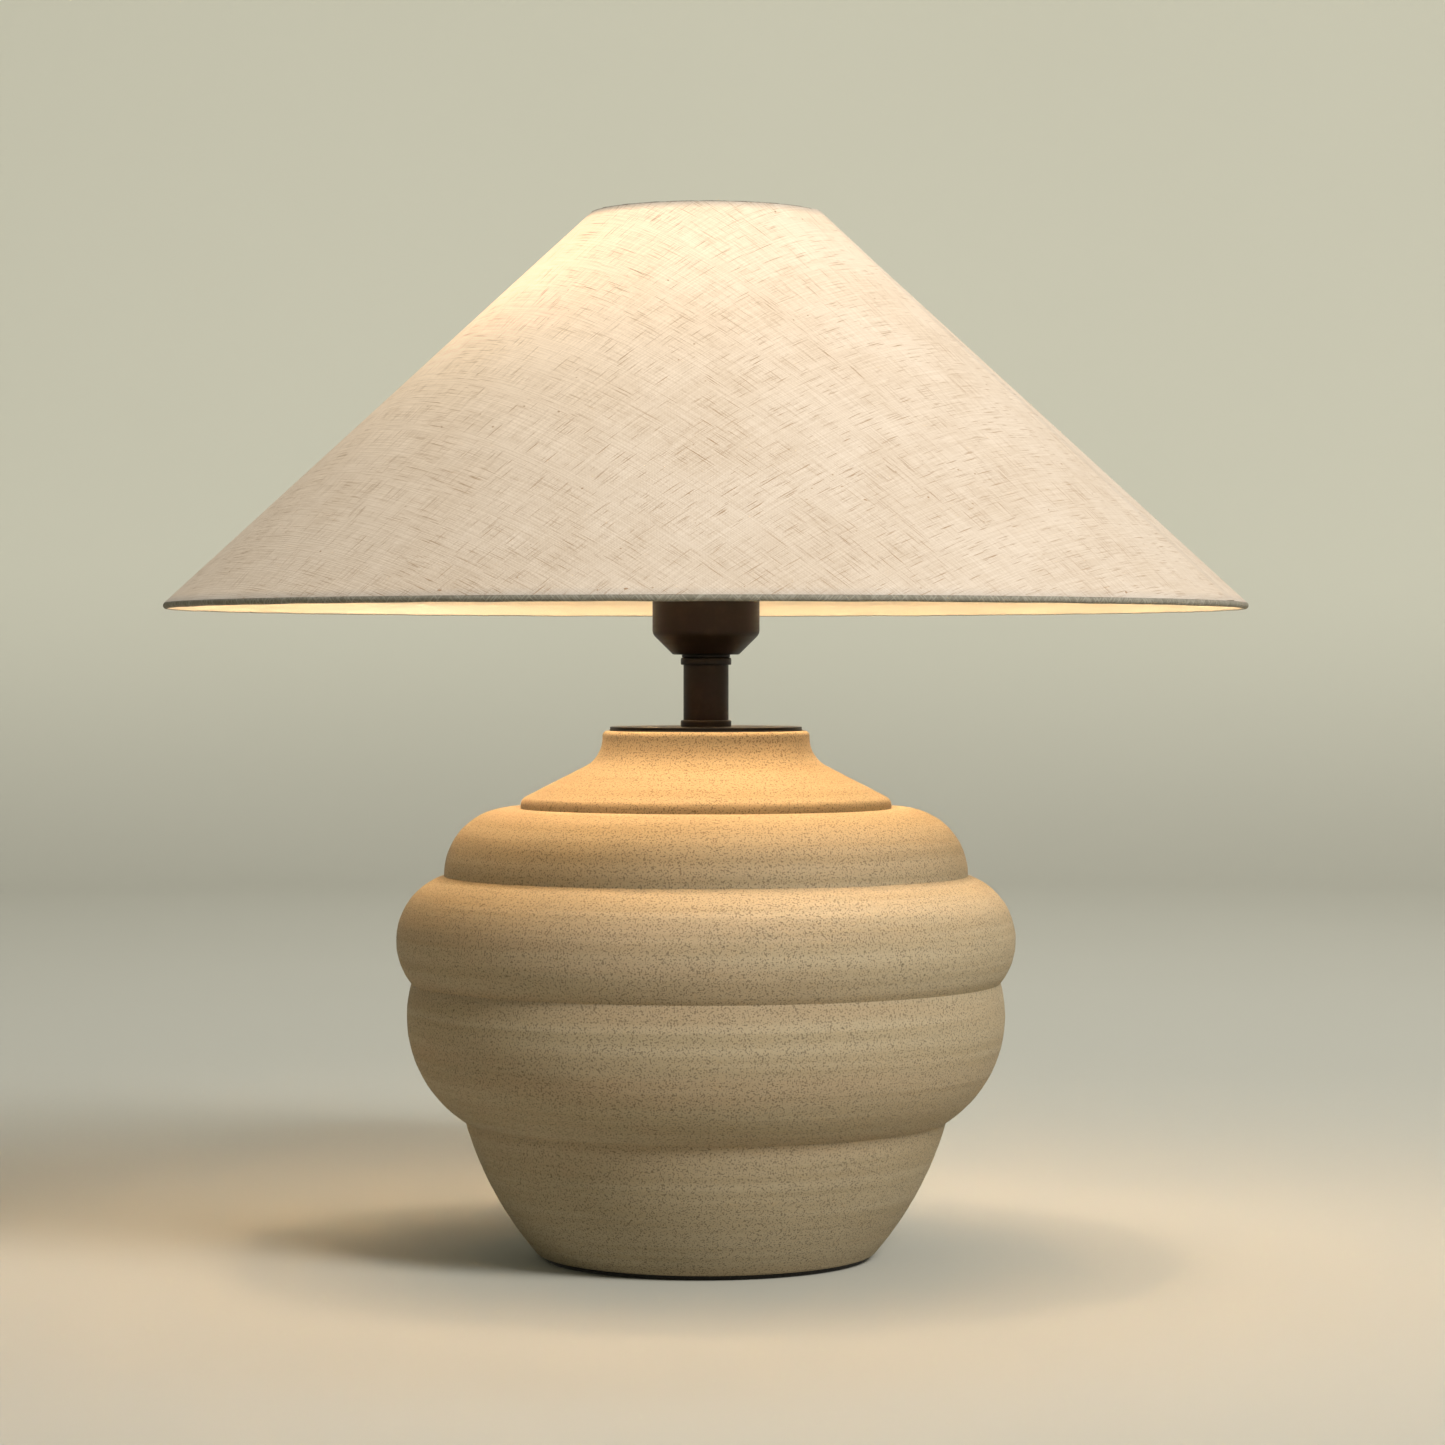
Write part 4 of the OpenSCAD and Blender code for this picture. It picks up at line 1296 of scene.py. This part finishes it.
@dataclass
class Shade:
    """The linen cover with its lap seam, and the turned hems round both rim wires."""

    finisher: Finisher
    cone: Cone = field(default_factory=Cone)
    cloth_t: float = 0.35 * MM
    glue: float = 0.05 * MM
    seam_turn: float = math.radians(68)
    lap: float = 8 * MM
    lap_open: float = 0.72
    lap_ease: float = 4 * MM
    rim_fade: float = 3.5 * MM
    hem_joint: float = math.radians(-115)
    hem_ease: float = 3 * MM
    hem_turn: float = math.radians(200)
    hem_w: float = 11 * MM
    hem_tight: float = 4 * MM
    pucker: float = 0.35 * MM
    wander: float = 0.06 * MM
    rows: int = 56
    columns: int = 320
    lap_columns: int = 6
    hem_columns: int = 360
    roll_steps: int = 21
    flap_rows: int = 8

    def lifted(self, share: Array) -> Array:
        """How far cloth is lifted that laps over its own beginning: its thickness and glue, eased in."""
        return smooth_step(share) * (self.cloth_t + self.glue)

    def cover(self) -> Object:
        """The cover: the cone's own surface, wound once round the wires and a little more for the lap.

        The turn runs from the seam back round to it, and then on by the lap's width over the radius at
        each height. Near the end the cloth is lifted by its own thickness, on a smooth step, so that it
        lies on its beginning. Where the cloth is double or lies on a wire, less light comes through.

        Returns:
            The new object.
        """
        along = np.linspace(self.glue, self.cone.slant - self.glue, self.rows)[:, None]
        radius = self.cone.low[0] + along * self.cone.up[0]
        past = np.linspace(0, 1, self.lap_columns + 1)[None, 1:]
        start = self.seam_turn - 2 * math.pi
        whole = start + 2 * math.pi * np.linspace(0, 1, self.columns)[None, :] + 0 * radius
        turns = np.concatenate([whole, self.seam_turn + self.lap / radius * past], 1)
        from_seam = (turns - self.seam_turn) * radius
        inner_off = self.cone.wire_r + self.glue + self.lifted(from_seam / self.lap_ease + 1)
        outer = revolved(*self.cone.at(inner_off + self.cloth_t, along), turns)
        inner = revolved(*self.cone.at(inner_off, along), turns)
        piece = strip("linen_cover", outer, inner, self.cone.flat(turns, along))
        # the share of the painted glow that each point shows: painted shade near the wires and where the
        # cloth is double
        edge = np.clip(np.minimum(along, self.cone.slant - along) / self.rim_fade, 0, 1)
        double = (from_seam + 2 * math.pi * radius < self.lap) | (from_seam > 0)
        passing = edge**2 * np.where(double, self.lap_open, 1.0)
        carry(piece, OPEN_CLOTH, np.concatenate([passing, passing[::-1]]))
        return piece

    def hem_path(self) -> tuple[Array, Array, Array]:
        """The middle line of a turned hem, as distances off the cone's line and up it from the wire.

        It goes round the wire on an arc, then straight until it is behind the lining, and up there for
        the hem's width.

        Returns:
            The distances off, the distances along, and the length of path at each point.
        """
        radius = self.cone.wire_r + self.glue + self.cloth_t / 2
        turns = np.linspace(0, self.hem_turn, self.roll_steps + 1)
        behind = self.cone.wire_r - self.cloth_t * 1.5 - 2 * self.glue
        last = radius * np.array([math.cos(self.hem_turn), -math.sin(self.hem_turn)])
        way = np.array([-math.sin(self.hem_turn), -math.cos(self.hem_turn)])
        meet = last + way * (behind - last[0]) / way[0]
        flap = np.linspace(meet[1] + 1 * MM, self.hem_w, self.flap_rows)
        off = np.concatenate([radius * np.cos(turns), [meet[0]], np.full(self.flap_rows, behind)])
        along = np.concatenate([-radius * np.sin(turns), [meet[1]], flap])
        run = np.concatenate([[0], np.cumsum(np.hypot(np.diff(off), np.diff(along)))])
        return off, along, run

    def hem(self, name: str, at_top: bool) -> Object:
        """A turned hem, whose path is carried round the rim and a little past its own beginning.

        Its loose edge inside the shade is drawn in by small sines round the rim, because cloth turned
        in on a cone puckers, and the rolled part wanders by smaller ones.

        Args:
            name: The piece's name.
            at_top: Whether it is round the top wire, where the path runs down the slope.

        Returns:
            The new object.
        """
        off, along, run = self.hem_path()
        rim_r = float((self.cone.top if at_top else self.cone.low)[0])
        columns = self.hem_columns // 2 if at_top else self.hem_columns
        way = np.stack([np.gradient(off), np.gradient(along)], 1)
        side = np.stack([way[:, 1], -way[:, 0]], 1) / np.linalg.norm(way, axis=1, keepdims=True)
        turns = np.linspace(self.hem_joint - 2 * math.pi, self.hem_joint + self.lap / rim_r, columns)[None, :]
        lift = self.lifted((turns - self.hem_joint) * rim_r / self.hem_ease + 1)
        loose = np.clip((along - self.hem_tight) / self.hem_w, 0, 1)[:, None] ** 2
        pucker = loose * self.pucker * (1 + 0.6 * np.sin(61 * turns) + 0.4 * np.sin(97 * turns + 2))
        wander = self.wander * (np.sin(23 * turns) + np.sin(41 * turns + 1))
        rolled = np.where(run[:, None] < self.hem_w / 2, 1.0, 0.0)
        faces = []
        for half in (self.cloth_t / 2, -self.cloth_t / 2):
            away = off[:, None] + side[:, :1] * (half + lift) - pucker + rolled * wander
            up = along[:, None] + side[:, 1:] * (half + lift)
            faces.append(revolved(*self.cone.at(away, self.cone.slant - up if at_top else up), turns))
        across = turns * rim_r + 0 * run[:, None]
        down = run[:, None] + 0 * turns
        cloth = np.stack([across + down, across - down], -1) / math.sqrt(2)
        return strip(name, faces[0], faces[1], cloth)

    def build(self) -> None:
        cover = self.finisher.dress(self.cover(), Slot.LINEN, Body.SHADE, "shade_linen")
        area = self.cone.flat_area() + self.lap * self.cone.slant
        for name, at_top, node, rim in (
            ("lower_hem", False, "bottom_hem", self.cone.low),
            ("upper_hem", True, "top_hem", self.cone.top),
        ):
            hem = self.hem(name, at_top)
            self.finisher.dress(hem, Slot.LINEN, Body.SHADE, node, material=self.finisher.hem)


@dataclass(frozen=True)
class SoftLight:
    """A square soft light that faces a point."""

    name: str
    at: Triple
    size: float
    power: float
    colour: Triple
    aim_at: Triple = (0, 0, 0.22)

    def build(self) -> None:
        """Puts the light in the scene."""
        light = bpy.data.lights.new(self.name, "AREA")
        light.size, light.energy, light.color = self.size, self.power, self.colour
        holder = linked(self.name, light)
        holder.location = self.at
        aim = Vector(self.aim_at) - Vector(self.at)
        holder.rotation_euler = aim.to_track_quat("-Z", "Y").to_euler()
        holder.visible_camera = False


@dataclass
class Studio:
    """A pale seamless floor, soft lights, the lamp's own light and the camera."""

    floor_r: float = 2.9
    floor_rings: tuple[float, ...] = (0.0, 0.4, 1.2, 2.2)
    wall_r: float = 4.1
    wall_h: float = 3.0
    sweep_steps: int = 24
    segments: int = 96
    floor_tones: tuple[Colour, Colour] = ((0.42, 0.41, 0.36, 1.0), (0.40, 0.39, 0.34, 1.0))
    wall_tones: tuple[Colour, Colour] = ((0.62, 0.61, 0.52, 1.0), (0.59, 0.58, 0.49, 1.0))
    lights: tuple[SoftLight, ...] = (
        SoftLight("key", (1.55, -2.0, 2.15), 0.9, 108, (1.0, 0.985, 0.96)),
        SoftLight("wall_wash", (0.4, 1.0, 2.9), 2.0, 60, (1.0, 0.98, 0.93), (0.4, 4.0, 0.7)),
    )
    bulb_power: float = 1.65
    bulb_colour: Triple = (1.0, 0.71, 0.46)
    bulb_gap: float = 0.5 * MM
    sky_colour: Colour = (0.93, 0.97, 0.90, 1)
    sky_strength: float = 0.27
    eye: Triple = (0.0069, -1.689, 0.2468)
    dip: float = math.radians(0.787)
    lens: float = 100.6
    sensor: float = 36
    near_clip: float = 0.05

    def paper(self) -> bpy.types.Material:
        """The floor's finish, which is paler where it becomes the wall.

        Returns:
            The new material.
        """
        graph = Graph("studio_paper")
        clouds = graph.noise(graph.place(), 1.4, 2)
        height = graph.parts(graph.place())[2]
        floor_tone, wall_tone = (graph.mixed(clouds, *tones) for tones in (self.floor_tones, self.wall_tones))
        paper = graph.mixed(height.step(-0.1, 0.4), floor_tone, wall_tone)
        return graph.finished(graph.principled(Base_Color=paper, Roughness=0.95))

    def floor(self) -> None:
        """The floor, which curves up into a round wall: a flat disc, a quarter circle and a straight wall."""
        sweep = self.wall_r - self.floor_r
        curve = arc_about((self.floor_r, sweep), sweep, -90, 0, self.sweep_steps)
        flat = np.array([[ring, 0.0] for ring in self.floor_rings])
        profile = np.concatenate([flat, curve, [[self.wall_r, self.wall_h]]])
        points = revolved(profile[:, :1], profile[:, 1:], once_round(self.segments)[None, :]).reshape(-1, 3)
        mesh = bpy.data.meshes.new("floor")
        mesh.from_pydata(points.tolist(), [], grid_faces(len(profile), self.segments, False, True).tolist())
        mesh.shade_smooth()
        mesh.materials.append(self.paper())
        floor = linked("floor", mesh)
        close_poles(floor)

    def lamp_light(self) -> None:
        """The light of the lit bulb, from a sphere just outside its glass."""
        low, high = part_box("bulb_glass")
        radius = (high.x - low.x) / 2
        light = bpy.data.lights.new("bulb_light", "POINT")
        light.energy, light.color = self.bulb_power, self.bulb_colour
        light.use_soft_falloff = False
        light.shadow_soft_size = radius + self.bulb_gap
        holder = linked("bulb_light", light)
        holder.location = (0, 0, high.z - radius)
        holder.visible_camera = False

    def camera(self) -> None:
        """The camera, level with the stem and looking a little down."""
        camera = bpy.data.cameras.new("camera")
        camera.lens, camera.sensor_width, camera.clip_start = self.lens, self.sensor, self.near_clip
        holder = linked("camera", camera)
        holder.location = self.eye
        holder.rotation_euler = (math.pi / 2 - self.dip, 0, 0)
        bpy.context.scene.camera = holder

    def build(self) -> None:
        """Sets up the studio."""
        self.camera()
        self.floor()
        for light in self.lights:
            light.build()
        self.lamp_light()
        world = bpy.data.worlds.new("studio")
        world.use_nodes = True
        sky = world.node_tree.nodes["Background"]
        sky.inputs["Color"].default_value = self.sky_colour
        sky.inputs["Strength"].default_value = self.sky_strength
        bpy.context.scene.world = world
        bpy.context.scene.view_settings.view_transform = "Standard"


def main() -> None:
    """Builds the studio and the lamp."""
    Studio().build()
    finisher = Finisher()
    finisher.dress_frame()
    Pot(finisher).build()
    Metalwork(finisher).build()
    Shade(finisher).build()


if __name__ == "__main__":
    main()
